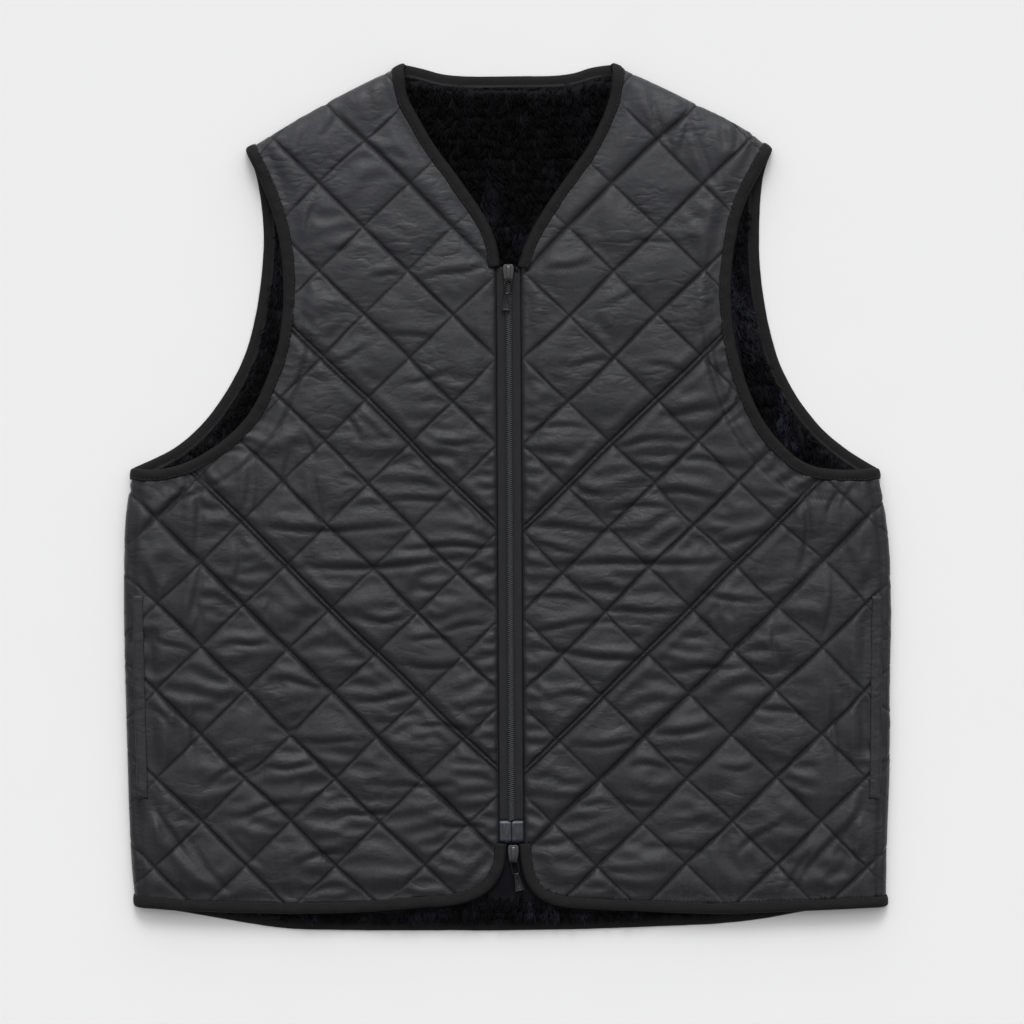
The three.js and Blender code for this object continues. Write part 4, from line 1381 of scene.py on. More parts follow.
@dataclass
class FrontPanel:
    """A quilted front panel: puffed diamonds, seams with puckers, and the cloth's creases."""

    half: Half
    divisions: int = 26  # of a diamond's side
    tuck: float = 7.4  # the binding's width over the panel's edge
    puff: float = 3.3
    crown: float = 0.46
    pressed: float = 0.3  # loss of height in the middle of the panel, where it is worn flat
    bound: Fade = Fade(0.06, 2.0, 14.0)
    folded: Fade = Fade(0.1, 2.0, 22.0)
    welted: Fade = Fade(0.0, 18.0, 12.0)
    welt_top: float = -72.0
    welt_bottom: float = -225.0
    side_line: float = 8.8  # seam beside the side fold
    deep_seams: tuple[int, ...] = (-1, 2)  # sewn twice, side by side
    firm_seams: tuple[int, ...] = (-2, 5)
    twin: float = 1.67  # half the distance between the two rows of a deep seam
    held: float = 0.2  # how close to a seam the cloth is sewn down
    strip: float = 24.0  # width of the facing that is sewn down inside the armhole
    zip_edge: float = 2.4  # radius of the edge turned in along the zip
    seam_step: float = 0.33  # the lattice's step at a seam, as a share of its widest step
    flat: tuple[float, float] = (0.31, 0.63)  # of the piece as cut, in metres

    def __post_init__(self) -> None:
        """Sets up the panel's own noise and the lattice's lines, which are closer at the seams."""
        first = 100 if self.half.side is Side.LEFT else 200
        self.noises = [Noise(first + k) for k in range(12)]
        self.falls, self.rises = self.lines(QUILTING.falls), self.lines(QUILTING.rises)
        beside = np.array([-2.3, -1.15, 1.15, 2.3]) / QUILTING.side_length
        beside = np.add.outer(self.deep_seams, beside).ravel()
        self.rises = np.sort(np.concatenate([self.rises, beside]))

    def lines(self, seams: tuple[int, int]) -> Array:
        """Places of the lattice's lines, counted in seams, from a first to a last seam."""
        steps = np.minimum(self.seam_step + 0.16 * np.arange(self.divisions // 2), 1)
        steps = np.concatenate([steps, steps[::-1]])
        one = np.concatenate([[0], np.cumsum(steps / steps.sum())[:-1]])
        return np.append(np.add.outer(np.arange(*seams), one).ravel(), seams[1])

    # -- the cut --

    def edges(self, at: Array) -> dict[str, Array]:
        """Distances of plan points from each of the panel's edges."""
        half = self.half
        y = at[:, 1]
        return {
            "hem": half.front_hem.distance(at) + ENDED * ease(y, ZIP.hem_top - 2, ZIP.hem_top + 10),
            "neck": half.front_neck.distance(at) + ENDED * ease(-y, -ZIP.top - 2, -ZIP.top + 10),
            "armhole": half.front_armhole.distance(at),
            "zip": half.zip_distance(at),
            "side": half.side_fold.distance(at),
            "shoulder": half.shoulder_fold.distance(at),
        }

    def room(self, at: Array) -> Array:
        """How far inside the panel's cut points lie."""
        edge = self.edges(at)
        bound = least(edge, "hem", "neck", "armhole") - self.tuck
        return np.minimum(bound, least(edge, "zip", "side", "shoulder"))

    def near(self, at: Array) -> Array:
        """Which points lie in the rectangle round the panel."""
        outward = self.half.side.value * at[:, 0]
        return (outward > -12) & (outward < 292) & (np.abs(at[:, 1]) < 330)

    def grid(self) -> tuple[Array, Array, Array, Array]:
        """The panel's points on the quilting's lattice, cut to shape.

        Returns:
            The points' columns and rows on the lattice, their plan points, and quads that face up.
        """
        falls, rises = self.falls, self.rises
        column, row = (a.ravel() for a in np.indices((len(falls), len(rises))))
        at = QUILTING.plan(self.half.side, falls[column], rises[row])
        faces = quads(len(falls), len(rises))
        if self.half.side is Side.LEFT:
            faces = faces[:, ::-1]
        faces = faces[self.near(at[faces].mean(axis=1))]
        faces = faces[self.room(at[faces].mean(axis=1)) > 0]
        faces, column, row, at = used_only(faces, column, row, at)
        rim = np.unique(border(faces))
        at[rim] = onto_edge(at[rim], self.room, 2.5)
        return column, row, at, faces

    # -- the relief --

    def base_height(self, fall: Array, rise: Array, at: Array) -> Array:
        """Height of the wadding under the outer cloth, above the panel's inner face.

        Args:
            fall: places between the falling seams.
            rise: places between the rising seams.
            at: the same places in the plan.

        Returns:
            Heights in millimetres.
        """
        edge = self.edges(at)
        bound = least(edge, "hem", "neck", "armhole") - BINDING_WIDTH
        bound, fold = np.minimum(bound, edge["zip"] + 1), least(edge, "side", "shoulder")
        past_welt = np.abs(at[:, 1] - (self.welt_top + self.welt_bottom) / 2)
        past_welt = np.maximum(0, past_welt - (self.welt_top - self.welt_bottom) / 2)
        at_welt = np.hypot(edge["side"], past_welt)
        share = self.bound.share(bound) * self.folded.share(fold) * self.welted.share(at_welt)
        wear_and_painted_light = 1 - self.pressed * bell(at[:, 1] + 10, 85)
        creased = sum(crease.relief(at) for crease in CREASES[self.half.side])
        relief = (self.waves(at) + creased) * (0.3 + 0.7 * share)
        relief += self.armhole_strip(edge["armhole"], at)
        relief -= self.seam_grooves(fall, rise) * (0.35 + 0.65 * ease(fold, 3, 14))
        relief -= bell(edge["side"] - self.side_line, 1.4)
        height = LEVELS.wall + self.pillow(fall, rise) * self.puff * share * wear_and_painted_light + relief
        lowest = LEVELS.wall * 0.45
        return lowest + np.logaddexp(0, (height - lowest) * 3) / 3

    def turned_in(self, height: Array, at: Array) -> Array:
        """Heights with the edge along the zip rounded down."""
        edge_in = np.clip(1 - self.half.zip_distance(at) / self.zip_edge, 0, 1)
        return 0.5 + (height - 0.5) * np.sqrt(1 - edge_in**2 * 0.96)

    def slack(self, at: Array) -> Array:
        """How much longer the cloth is cut than the wadding, along x and y, as shares."""
        edge = self.edges(at)
        fold = least(edge, "side", "shoulder")
        x, y = at.T
        n = self.noises
        drawn = ease(y, -260, -215) * ease(-y, -95, -20)
        along_zip = 0.06 * bell(edge["zip"], 19) * (0.25 + 0.75 * drawn)
        along_zip *= 0.5 + 0.5 * ease(n[1](x / 30, y / 11), -0.5, 0.4)
        level = 0.014 + 0.05 * n[2](x / 27, y / 22) + 0.012 * ease(-y, -90, 0) + along_zip
        level -= 0.03 * bell(fold, 42)
        upright = 0.004 + 0.036 * n[3](x / 24, y / 30) + 0.034 * bell(fold, 46)
        upright += 0.02 * bell(edge["armhole"] - 14, 11)
        smooth = 1 - 0.45 * ease(y, 50, 120)
        return np.column_stack([np.clip(upright, 0, 0.09), np.clip(level, 0, 0.12) * smooth])

    def settled(self, column: Array, row: Array, at: Array, faces: Array) -> Array:
        """The outer cloth after it has settled: plan points and heights above the inner face."""
        fall, rise = self.falls[column], self.rises[row]
        x, y = at.T
        n = self.noises
        bent = x / 30 + 1.8 * n[9](x / 55, y / 55), y / 13 + 1.8 * n[10](x / 45, y / 45)
        push = 1.3 * n[8](*bent) + 0.5 * n[11](x / 16, y / 8)
        off_rise = QUILTING.off_seam(rise)
        deep = np.isin(np.round(rise).astype(int), self.deep_seams)
        held = np.minimum(QUILTING.off_seam(fall), off_rise) < self.held
        held |= deep & (off_rise < self.twin + self.held)
        held[np.unique(border(faces))] = True
        lying = np.column_stack([at, self.base_height(fall, rise, at)])
        return SlackCloth(column, row).settle(lying, push, self.slack(at), held)

    def pillow(self, fall: Array, rise: Array) -> Array:
        """Shape of the puffs, from 0 at the seams to about 1, each a little different."""
        fullness = 1 + 0.16 * self.noises[0](fall * 0.9, rise * 0.9)
        lean = 0.12 * self.noises[1](fall * 0.7, rise * 0.7)
        one = np.abs(np.sin(math.pi * (fall - np.floor(fall)) ** (1 + lean)))
        other = np.abs(np.sin(math.pi * (rise - np.floor(rise)) ** (1 - lean)))
        return (one * other) ** self.crown * fullness

    def waves(self, at: Array) -> Array:
        """Low swells of the whole panel."""
        x, y = at.T
        return 0.6 * self.noises[8](x / 60, y / 48) + 0.35 * self.noises[6](x / 33, y / 24)

    def strip_line(self, off: Array, at: Array) -> Array:
        """Closeness to the facing's stitch lines inside the lower armhole, from 0 to 1."""
        line = self.strip + 2 * self.noises[4](at[:, 1] / 50, 2)
        near = bell(off - line, 1.3)
        if self.half.side is Side.RIGHT:
            near = np.maximum(near, 0.8 * bell(off - line + 4.5, 1.2))
        inward = ease(-self.half.side.value * at[:, 0], -262, -235)
        return near * ease(-at[:, 1], -150, -95) * inward

    def armhole_strip(self, off: Array, at: Array) -> Array:
        """The relief of the facing's stitch lines, with puckers up to the armhole's edge."""
        n = self.noises
        along = at @ np.array([0.55 * -self.half.side.value, 0.84])
        phase = along / 11 + 0.8 * n[5](along / 28, off / 20)
        valley = 0.5 + 0.5 * np.cos(2 * math.pi * phase)
        between = ease(off, BINDING_WIDTH - 2, BINDING_WIDTH + 2)
        between *= ease(-off, -self.strip - 4, 2 - self.strip)
        strength = np.clip(0.6 + 0.9 * n[6](along / 19, off / 18), 0.05, 1.3)
        shown = ease(-at[:, 1], -170, -105)
        return -1.5 * self.strip_line(off, at) - 1.25 * valley * between * strength * shown

    def seam_grooves(self, fall: Array, rise: Array) -> Array:
        """The stitched lines themselves, pulled down into the wadding."""
        off_fall, off_rise = QUILTING.off_seam(fall), QUILTING.off_seam(rise)
        groove = 0.4 * bell(off_fall, 0.9)
        seam = np.round(rise).astype(int)
        firm = np.where(np.isin(seam, self.firm_seams), 1.0 * bell(off_rise, 2.4), 0)
        groove = np.maximum(groove, 0.8 * bell(off_rise, 0.9) + 0.5 * bell(off_rise, 2.2) + firm)
        drawn = 0.6 * bell(off_rise, 6) + 1.9 * bell(off_rise - self.twin, 0.6)
        drawn -= 0.7 * bell(off_rise - 8, 3.5)
        return np.where(np.isin(seam, self.deep_seams), 0.4 * bell(off_fall, 0.9) + drawn, groove)

    def seam_shade(self, fall: Array, rise: Array, at: Array) -> Array:
        """How deep a point lies in a seam, on the side line or on the facing's stitch lines, from 0
        to 1: painted shade for the cloth's colour.
        """
        off_rise = QUILTING.off_seam(rise)
        seam = np.round(rise).astype(int)
        deep, firm = np.isin(seam, self.deep_seams), np.isin(seam, self.firm_seams)
        shade = 0.5 * bell(QUILTING.off_seam(fall), 0.7)
        shade = np.maximum(shade, np.where(firm, 1.0, 0.85) * bell(off_rise, 0.9))
        twins = 1.1 * bell(off_rise - self.twin, 0.75) + 0.2 * bell(off_rise - 2, 3)
        shade = np.where(deep, np.maximum(twins, 0.5 * bell(QUILTING.off_seam(fall), 1.1)), shade)
        edge = self.edges(at)
        shade = np.maximum(shade, 0.7 * bell(edge["side"] - self.side_line, 1.2))
        return np.clip(np.maximum(shade, 0.75 * self.strip_line(edge["armhole"], at)), 0, 1)

    # -- the pieces --

    def build(self, cloth: Material, thread: Material) -> None:
        """Makes the panel and its stitches.

        Args:
            cloth: the shell's material.
            thread: the stitches' material.
        """
        word = self.half.side.word
        column, row, at, faces = self.grid()
        cloth_at = self.settled(column, row, at, faces)
        outer = self.half.drape(cloth_at[:, :2], self.turned_in(cloth_at[:, 2], at))
        inner = self.half.drape(at, np.zeros(len(at)))
        # painted shade in the seams, which the cloth's colour reads from the seam attribute
        shade = self.seam_shade(self.falls[column], self.rises[row], at)
        panel = closed_sheet(f"quilted_front_{word}", outer, inner, faces, {"seam": shade})
        dressed(panel, cloth, "quilted_shell", f"front_{word}")
        sum_area(at, faces) * 1.03
        self.stitches(thread)

    def stitches(self, thread: Material) -> Piece:
        """Sews the quilting's seams.

        Args:
            thread: the stitches' material.

        Returns:
            All the stitches as one object.
        """
        q, pitch = QUILTING, QUILTING_PITCH / QUILTING.side_length
        falls, rises = (range(first, last + 1) for first, last in (q.falls, q.rises))
        one = [(f, r) for f in falls for r in np.arange(*q.rises, pitch)]
        other = [(f, r) for r in rises for f in np.arange(*q.falls, pitch)]
        places = np.array(one + other)
        ahead = np.repeat([[0, 0.4 * pitch], [0.4 * pitch, 0]], [len(one), len(other)], axis=0)
        start, stop = self.on_cloth(places - ahead), self.on_cloth(places + ahead)
        shown = ~np.isnan(start[:, 0] + stop[:, 0])
        name = f"quilting_stitches_{self.half.side.word}"
        return sewn(name, start[shown], stop[shown], thread, "quilted_shell")

    def on_cloth(self, places: Array) -> Array:
        """Points on the cloth's outer face, without numbers where there is no cloth."""
        fall, rise = places.T
        at = QUILTING.plan(self.half.side, fall, rise)
        inside = self.near(at)
        inside[inside] = self.room(at[inside]) > 1.2
        points = np.full((len(at), 3), np.nan)
        height = self.base_height(fall[inside], rise[inside], at[inside])
        height = self.turned_in(height, at[inside])
        points[inside] = self.half.drape(at[inside], height + 0.12)
        return points


def sum_area(at: Array, faces: Array) -> float:
    """Plan area of quads, in square metres."""
    a, b, c, d = (at[faces[:, k]] for k in range(4))
    across, up = c - a, d - b
    return float(np.abs(across[:, 0] * up[:, 1] - across[:, 1] * up[:, 0]).sum() / 2 * MM**2)


def stitch_model() -> Piece:
    """One stitch at the origin: a low bar along x whose ends dip into the cloth."""
    made = block("stitch", STITCH, (0, 0, 0.05))
    with chosen(made, "FACE", lambda at, normal: normal.z > 0.9):
        bpy.ops.transform.resize(value=(0.72, 0.5, 1))
    return made


def sewn(name: str, start: Array, stop: Array, thread: Material, slot: str) -> Piece:
    """Stitches between pairs of points, as one object."""
    made = repeated(name, stitch_model(), (start + stop) / 2, frames_along(stop - start))
    return dressed(made, thread, slot)


# ---- Bindings ----


@dataclass
class Binding:
    """A folded tape that wraps an edge, from one end of a path to the other."""

    name: str
    node: str
    path: Path
    outer: float  # height where it wraps the edge
    inner: float  # height of its stitched edge
    lay: Callable[[Array, Array], Array]
    seed: int
    rests_on: str
    pitch: float = 1.9
    gather: float = 0.2  # height of the small puckers along it
    width: float = 0.034  # of the tape before it is folded in four, in metres

    def section(self) -> Array:
        """Across and up, round the tape's section from the garment's side over the top."""
        w, high_, lip = BINDING_WIDTH, self.outer, self.inner
        return np.array([
            (w - 0.9, 0.0), (w - 0.75, lip - 1.0), (w - 0.1, lip - 0.75), (w + 0.15, lip - 0.3),
            (w - 0.15, lip), (w - 0.9, lip + 0.1), (w * 0.72, high_ - 0.1), (w * 0.5, high_ + 0.05),
            (w * 0.3, high_), (w * 0.14, high_ - 0.45), (0.35, high_ * 0.66), (0.0, high_ * 0.36),
            (0.3, 0.25), (1.2, 0.0),
        ])

    def build(self, tape: Material, thread: Material) -> None:
        """Makes the tape and its stitches.

        Args:
            tape: the tape's material.
            thread: the stitches' material.
        """
        points = resample(self.path.points, self.pitch)
        towards = Path(points, self.path.turn).normals()
        along = np.arange(len(points)) * self.pitch
        section = self.section()
        noise, other = Noise(self.seed), Noise(self.seed + 1)
        rings = np.empty((len(points), len(section), 3))
        for k, (over, up) in enumerate(section):
            inner = ease(over, BINDING_WIDTH * 0.3, BINDING_WIDTH)
            wave = 0.55 * noise(along / 16, k * 0.12) + 0.3 * noise(along / 6.5, 9 + k * 0.2)
            swell = self.gather * (1.4 * other(along / 5.2, k * 0.3) + other(along / 19, 5))
            shift = wave * (0.25 + 0.75 * inner)
            height = np.maximum(0, up + (swell if up > 0.5 else 0))
            rings[:, k] = self.lay(points + towards * (over + shift)[:, None], height)
        over, ahead = np.meshgrid(lengths(section), along)
        made = tube(self.name, rings, {"along": ahead, "over": over})
        dressed(made, tape, "edge_binding", self.node)
        length = along[-1] * MM
        0.42 * self.width * length
        self.stitches(rings, thread)

    def stitches(self, rings: Array, thread: Material) -> Piece:
        """Sews the tape down close to its inner edge.

        Args:
            rings: the tape's sections.
            thread: the stitches' material.

        Returns:
            All the stitches as one object.
        """
        edge = rings[:, 5] + [0, 0, 0.06]
        along = lengths(edge)
        starts = np.arange(1.5, along[-1] - 4.5, STITCH_PITCH)
        ends = (
            np.column_stack([np.interp(s, along, edge[:, k]) for k in range(3)])
            for s in (starts, starts + STITCH[0])
        )
        return sewn(f"stitches_{self.name}", *ends, thread, "edge_binding")


def on_floor(at: Array, height: Array) -> Array:
    """Lays points of the back, whose underside is the floor."""
    return np.column_stack([at, np.broadcast_to(height, len(at))])


def front_bindings(half: Half) -> list[Binding]:
    """The bindings of one front panel, cut square at its ends."""
    word, first = half.side.word, 300 if half.side is Side.LEFT else 400
    hem = half.front_hem.run_on(0, 3)
    armhole = half.front_armhole.run_on(3, 3)
    neck = half.front_neck.run_on(3, 0)
    panel = f"quilted_front_{word}"
    rows = (("hem", hem, 0.16), ("armhole", armhole, 0.3), ("neck", neck, 0.2))
    return [
        Binding(
            f"{edge}_tape_front_{word}", f"{edge}_binding_front_{word}", path,
            *FRONT_WRAP, half.drape, first + 7 * k, panel, gather=gather,
        )
        for k, (edge, path, gather) in enumerate(rows)
    ]


def back_bindings() -> list[Binding]:
    """The bindings of the back's edges."""
    rows = [("hem_{}_back", back_hem()), ("neck_{}_back", back_neck())]
    rows += [(f"armhole_{{}}_back_{s.word}", HALVES[s].back_armhole) for s in Side]
    return [
        Binding(
            name.format("tape"), name.format("binding"), path, *BACK_WRAP,
            on_floor, 500 + 7 * k, "curly_lining", gather=0.12,
        )
        for k, (name, path) in enumerate(rows)
    ]


# ---- The back ----


class BackPlan:
    """The back's outline and distances from it."""

    def __init__(self) -> None:
        """Joins the edges to an outline that runs anticlockwise."""
        left, right = HALVES[Side.LEFT], HALVES[Side.RIGHT]
        parts = [
            back_hem().points, right.side_fold.points, right.back_armhole.points,
            right.shoulder_fold.points, back_neck().points, left.shoulder_fold.points[::-1],
            left.back_armhole.points[::-1], left.side_fold.points[::-1],
        ]
        self.outline = np.vstack([part[:-1] for part in parts])

    def room(self, at: Array) -> Array:
        """Signed distances of points from the outline, positive inside."""
        outline = self.outline
        nxt = np.roll(outline, -1, axis=0)
        along = nxt - outline
        squared = (along**2).sum(1)
        result = []
        for part in np.array_split(at, max(1, len(at) // 3000)):
            away = part[:, None] - outline
            share = np.clip((away * along).sum(2) / squared, 0, 1)
            gap = np.linalg.norm(away - share[..., None] * along, axis=2).min(axis=1)
            above = (outline[:, 1] <= part[:, None, 1]) != (nxt[:, 1] <= part[:, None, 1])
            rise = np.where(np.abs(along[:, 1]) < 1e-9, 1e-9, along[:, 1])
            crossing = outline[:, 0] + (part[:, None, 1] - outline[:, 1]) / rise * along[:, 0]
            inside = (above & (part[:, None, 0] < crossing)).sum(1) % 2 == 1
            result.append(np.where(inside, gap, -gap))
        return np.concatenate(result)


@dataclass
class BackShell:
    """The back panel, flat on the floor, its quilting pressed up from below."""

    plan: BackPlan
    pitch: float = 4.0
    inset: float = 6.8
    groove: float = 1.1
    flat: tuple[float, float] = (0.58, 0.66)  # of the piece as cut, in metres

    def build(self, cloth: Material) -> None:
        """Makes the panel.

        Args:
            cloth: the shell's material.
        """
        at, faces = trimmed_grid(self.pitch, lambda p: self.plan.room(p) - self.inset)
        seams, noise = self.seams(at), Noise(600)
        lift = self.groove * seams
        lift += 0.5 * (0.5 + 0.5 * noise(at[:, 0] / 24, at[:, 1] / 19)) * (lift > 0.15)
        lower = on_floor(at, np.clip(lift, 0, LEVELS.wall * 0.6))
        # painted shade: darker along the back's seams, and a near-black painted shadow along its
        # edge, where the gap under the bindings shows
        shade = np.maximum(seams * 0.8, ease(-self.plan.room(at), -16, -11))
        upper = on_floor(at, LEVELS.wall)
        panel = closed_sheet("quilted_back", upper, lower, faces, {"seam": shade})
        dressed(panel, cloth, "quilted_shell", "back_shell")
        area = sum_area(at, faces)

    def seams(self, at: Array) -> Array:
        """Closeness to the back's quilting seams, from 0 to 1."""
        q = QUILTING
        away = np.abs(at[:, 0] - q.axis) * q.slope
        fall = (at[:, 1] + away - q.fall_start) / q.fall_pitch
        rise = (at[:, 1] - away - q.rise_start) / q.rise_pitch
        return np.maximum(bell(q.off_seam(fall), 2.6), bell(q.off_seam(rise), 2.6))


def trimmed_grid(
    pitch: float, room: Callable[[Array], Array], limits: float = 340.0
) -> tuple[Array, Array]:
    """A square grid cut to a shape, its rim moved onto the shape's edge.

    Args:
        pitch: of the grid.
        room: signed distance inside the shape.
        limits: how far the grid reaches from the origin.

    Returns:
        Plan points and quads that face up.
    """
    marks = np.arange(-limits, limits + pitch, pitch)
    x, y = (a.ravel() for a in np.meshgrid(marks, marks, indexing="ij"))
    at, faces = np.column_stack([x, y]), quads(len(marks), len(marks))
    faces, at = used_only(faces[room(at[faces].mean(axis=1)) > 0], at)
    rim = np.unique(border(faces))
    at[rim] = onto_edge(at[rim], room, pitch)
    return at, faces


# ---- Fur ----


@dataclass
class Lining:
    """Curly pile on a knitted back: a lumpy bed, and tufts of strands where it shows."""

    plan: BackPlan
    pitch: float = 3.4
    inset: float = 8.6
    density: float = 0.58  # strands a square millimetre
    strand: float = 10.5
    thickness: float = 0.66
    lock: tuple[float, float] = (4.5, 8.0)  # width and length of a lock of strands
    sections: int = 4  # of a strand
    sides: int = 3
    flat: tuple[float, float] = (0.57, 0.65)  # of the piece as cut, in metres

    def bed_height(self, at: Array, room: Array) -> Array:
        """Height of the pile's bed above the floor.

        Args:
            at: plan points.
            room: their distances inside the lining's edge.

        Returns:
            Heights in millimetres.
        """
        lumps, small = Noise(700), Noise(701)
        x, y = at.T
        x, y = x + 3 * small(x / 11, y / 11), y + 3 * small(x / 9 + 7, y / 9)
        lump = 1 - np.abs(lumps(x / 9.5, y / 9.5)) * 1.7
        relief = 1.2 * lump + 0.6 * small(x / 4, y / 4) - 1.5
        depth = LEVELS.lining_top - LEVELS.lining_bottom
        round_in = np.sqrt(np.clip(1 - np.clip(1 - room / 3.5, 0, 1) ** 2, 0, 1))
        edge = LEVELS.lining_bottom + 0.6 + (depth - 0.6) * round_in
        return np.clip(edge + relief * round_in, LEVELS.lining_bottom + 0.4, None)

    def build(self, pile: Material) -> None:
        """Makes the bed and the strands.

        Args:
            pile: the fur's material.
        """
        def room(p: Array) -> Array:
            """Signed distances inside the lining's edge."""
            return self.plan.room(p) - self.inset

        at, faces = trimmed_grid(self.pitch, room)
        height = self.bed_height(at, np.maximum(0, room(at)))
        under = self.covered(at) > 2
        height = np.where(under, np.minimum(height, LEVELS.lining_top - 0.2), height)
        upper, lower = on_floor(at, height), on_floor(at, LEVELS.lining_bottom)
        bed = closed_sheet("curly_lining", upper, lower, faces, {"tip_sheen": np.full(len(at), 0.1)})
        dressed(bed, pile, "fur", "back_lining")
        area = sum_area(at, faces)
        self.strands(pile, room)

    def covered(self, at: Array) -> Array:
        """How far points lie under a front panel, negative where the lining shows."""
        best = np.full(len(at), -99.0)
        for half in HALVES.values():
            paths = (half.front_armhole, half.side_fold, half.shoulder_fold)
            inside = [
                half.front_hem.distance(at) + ENDED * ease(at[:, 1], -260, -248),
                half.front_neck.distance(at) + ENDED * ease(-at[:, 1], -174, -160),
                half.zip_distance(at) + ZIP.half_width, *(path.distance(at) for path in paths),
            ]
            best = np.maximum(best, np.minimum.reduce(inside))
        return best

    def strands(self, pile: Material, room: Callable[[Array], Array]) -> None:
        """Plants the strands, region by region.

        Args:
            pile: the fur's material.
            room: signed distance inside the lining's edge.
        """
        regions = {
            "neck": ((-95, 95), (160, 330)), "armhole_left": ((-300, -160), (0, 280)),
            "armhole_right": ((160, 300), (0, 280)), "hem": ((-300, 300), (-330, -296)),
        }
        for number, (word, (wide, tall)) in enumerate(regions.items()):
            random = np.random.default_rng(SEED + 800 + number)
            count = int((wide[1] - wide[0]) * (tall[1] - tall[0]) * self.density)
            roots = np.column_stack([random.uniform(*wide, count), random.uniform(*tall, count)])
            inside, cover = room(roots), self.covered(roots)
            kept = (inside > 0.1) & (cover < 5)
            planting = roots[kept], inside[kept], cover[kept]
            dressed(self.planted(f"pile_{word}", *planting, random), pile, "fur")

    def planted(
        self, name: str, roots: Array, room: Array, cover: Array, random: np.random.Generator
    ) -> Piece:
        """Grows strands that lean down the garment and gather in locks.

        Args:
            name: the object's name.
            roots: plan points.
            room: the roots' distances inside the lining's edge.
            cover: how far the roots lie under a front panel.
            random: source of the strands' differences.

        Returns:
            The strands as one object.
        """
        sections, sides, count = self.sections, self.sides, len(roots)
        bent = roots + 1.6 * np.column_stack([Noise(813 + k)(*(roots.T / 7)) for k in range(2)])
        cell = np.floor(bent / self.lock).astype(int)
        middle = (cell + 0.5) * self.lock
        own = random.uniform(0, 1, (3, 97, 89))[:, cell[:, 0] % 97, cell[:, 1] % 89]
        heading = -math.pi / 2 + 0.5 * Noise(810)(*(roots.T / 26)) + 0.9 * (own[0] - 0.5)
        heading += random.normal(0, 0.16, count)
        twist = 0.9 * (own[1] - 0.5) + random.normal(0, 0.2, count)
        length = self.strand * (0.75 + 0.35 * own[2] + random.uniform(-0.15, 0.15, count))
        length *= 0.45 + 0.55 * ease(room, 0, 9)
        bed = self.bed_height(roots, np.maximum(0, room)) - 1.2
        rise = 2.4 + 1.6 * own[1] + random.uniform(-0.5, 0.5, count)
        rise *= 0.45 + 0.55 * ease(room, 0, 8)
        rise = np.where(cover > -1, np.minimum(rise, 1.0), rise)
        gather = 0.62 * (middle - bent)
        centre = np.column_stack([roots, bed])
        rings, shares = [], np.linspace(0, 1, sections)
        for share in shares:
            angle = heading + twist * share
            forward = np.column_stack([np.cos(angle), np.sin(angle)])
            if share:
                centre[:, :2] += (forward * length[:, None] + gather) / (sections - 1)
                lift = rise * math.sin(math.pi * 0.86 * share) * 1.1
                centre[:, 2] = np.maximum(bed + lift, 0.4)
            width = self.thickness * (1.0 - share) ** 0.6 * (0.8 + 0.4 * share) + 0.04
            across = np.column_stack([-forward[:, 1], forward[:, 0], np.zeros(count)])
            ring = [
                centre + across * (width * math.cos(a)) + [0, 0, width * math.sin(a)]
                for a in (math.radians(90 + 120 * k) for k in range(sides))
            ]
            rings.append(np.stack(ring, axis=1))
        points = np.stack(rings, axis=1)
        # painted sheen: strands are painted lighter towards their tips, in streaks and patches
        shade = self.painted_sheen(roots) * (0.55 + 0.45 * own[2]) * random.uniform(0.6, 1, count)
        tips = np.repeat(shares[None, :, None] * shade[:, None, None], sides, axis=2)
        top = (sections - 1) * sides
        caps = [(0, 2, 1), (top, top + 1, top + 2)]
        triangles = np.vstack([sleeve(sections, sides), caps])
        offsets = np.arange(count)[:, None, None] * (sections * sides)
        faces = (triangles[None] + offsets).reshape(-1, 3)
        return mesh_object(name, points.reshape(-1, 3), faces, {"tip_sheen": tips.ravel()})

    def painted_sheen(self, at: Array) -> Array:
        """Painted sheen of the pile, from 0 to 1: lighter streaks along the nap, lighter low in the
        neck and towards its right, and away from the neck lighter on the right half than on the
        left.
        """
        x, y = at.T
        streak = ease(Noise(820)(x / 6, y / 24) + 0.7 * Noise(821)(x / 17, y / 30), 0.0, 0.7)
        at_neck = ease(-np.abs(x), -150, -120)
        lower = ease(-y, -262, -205) * (0.65 + 0.35 * ease(x, -10, 25))
        shown = at_neck * (0.14 + 1.0 * lower) + (1 - at_neck) * (1.05 + 0.35 * np.sign(x))
        return (0.1 + 0.9 * streak) * shown


# ---- Pockets ----


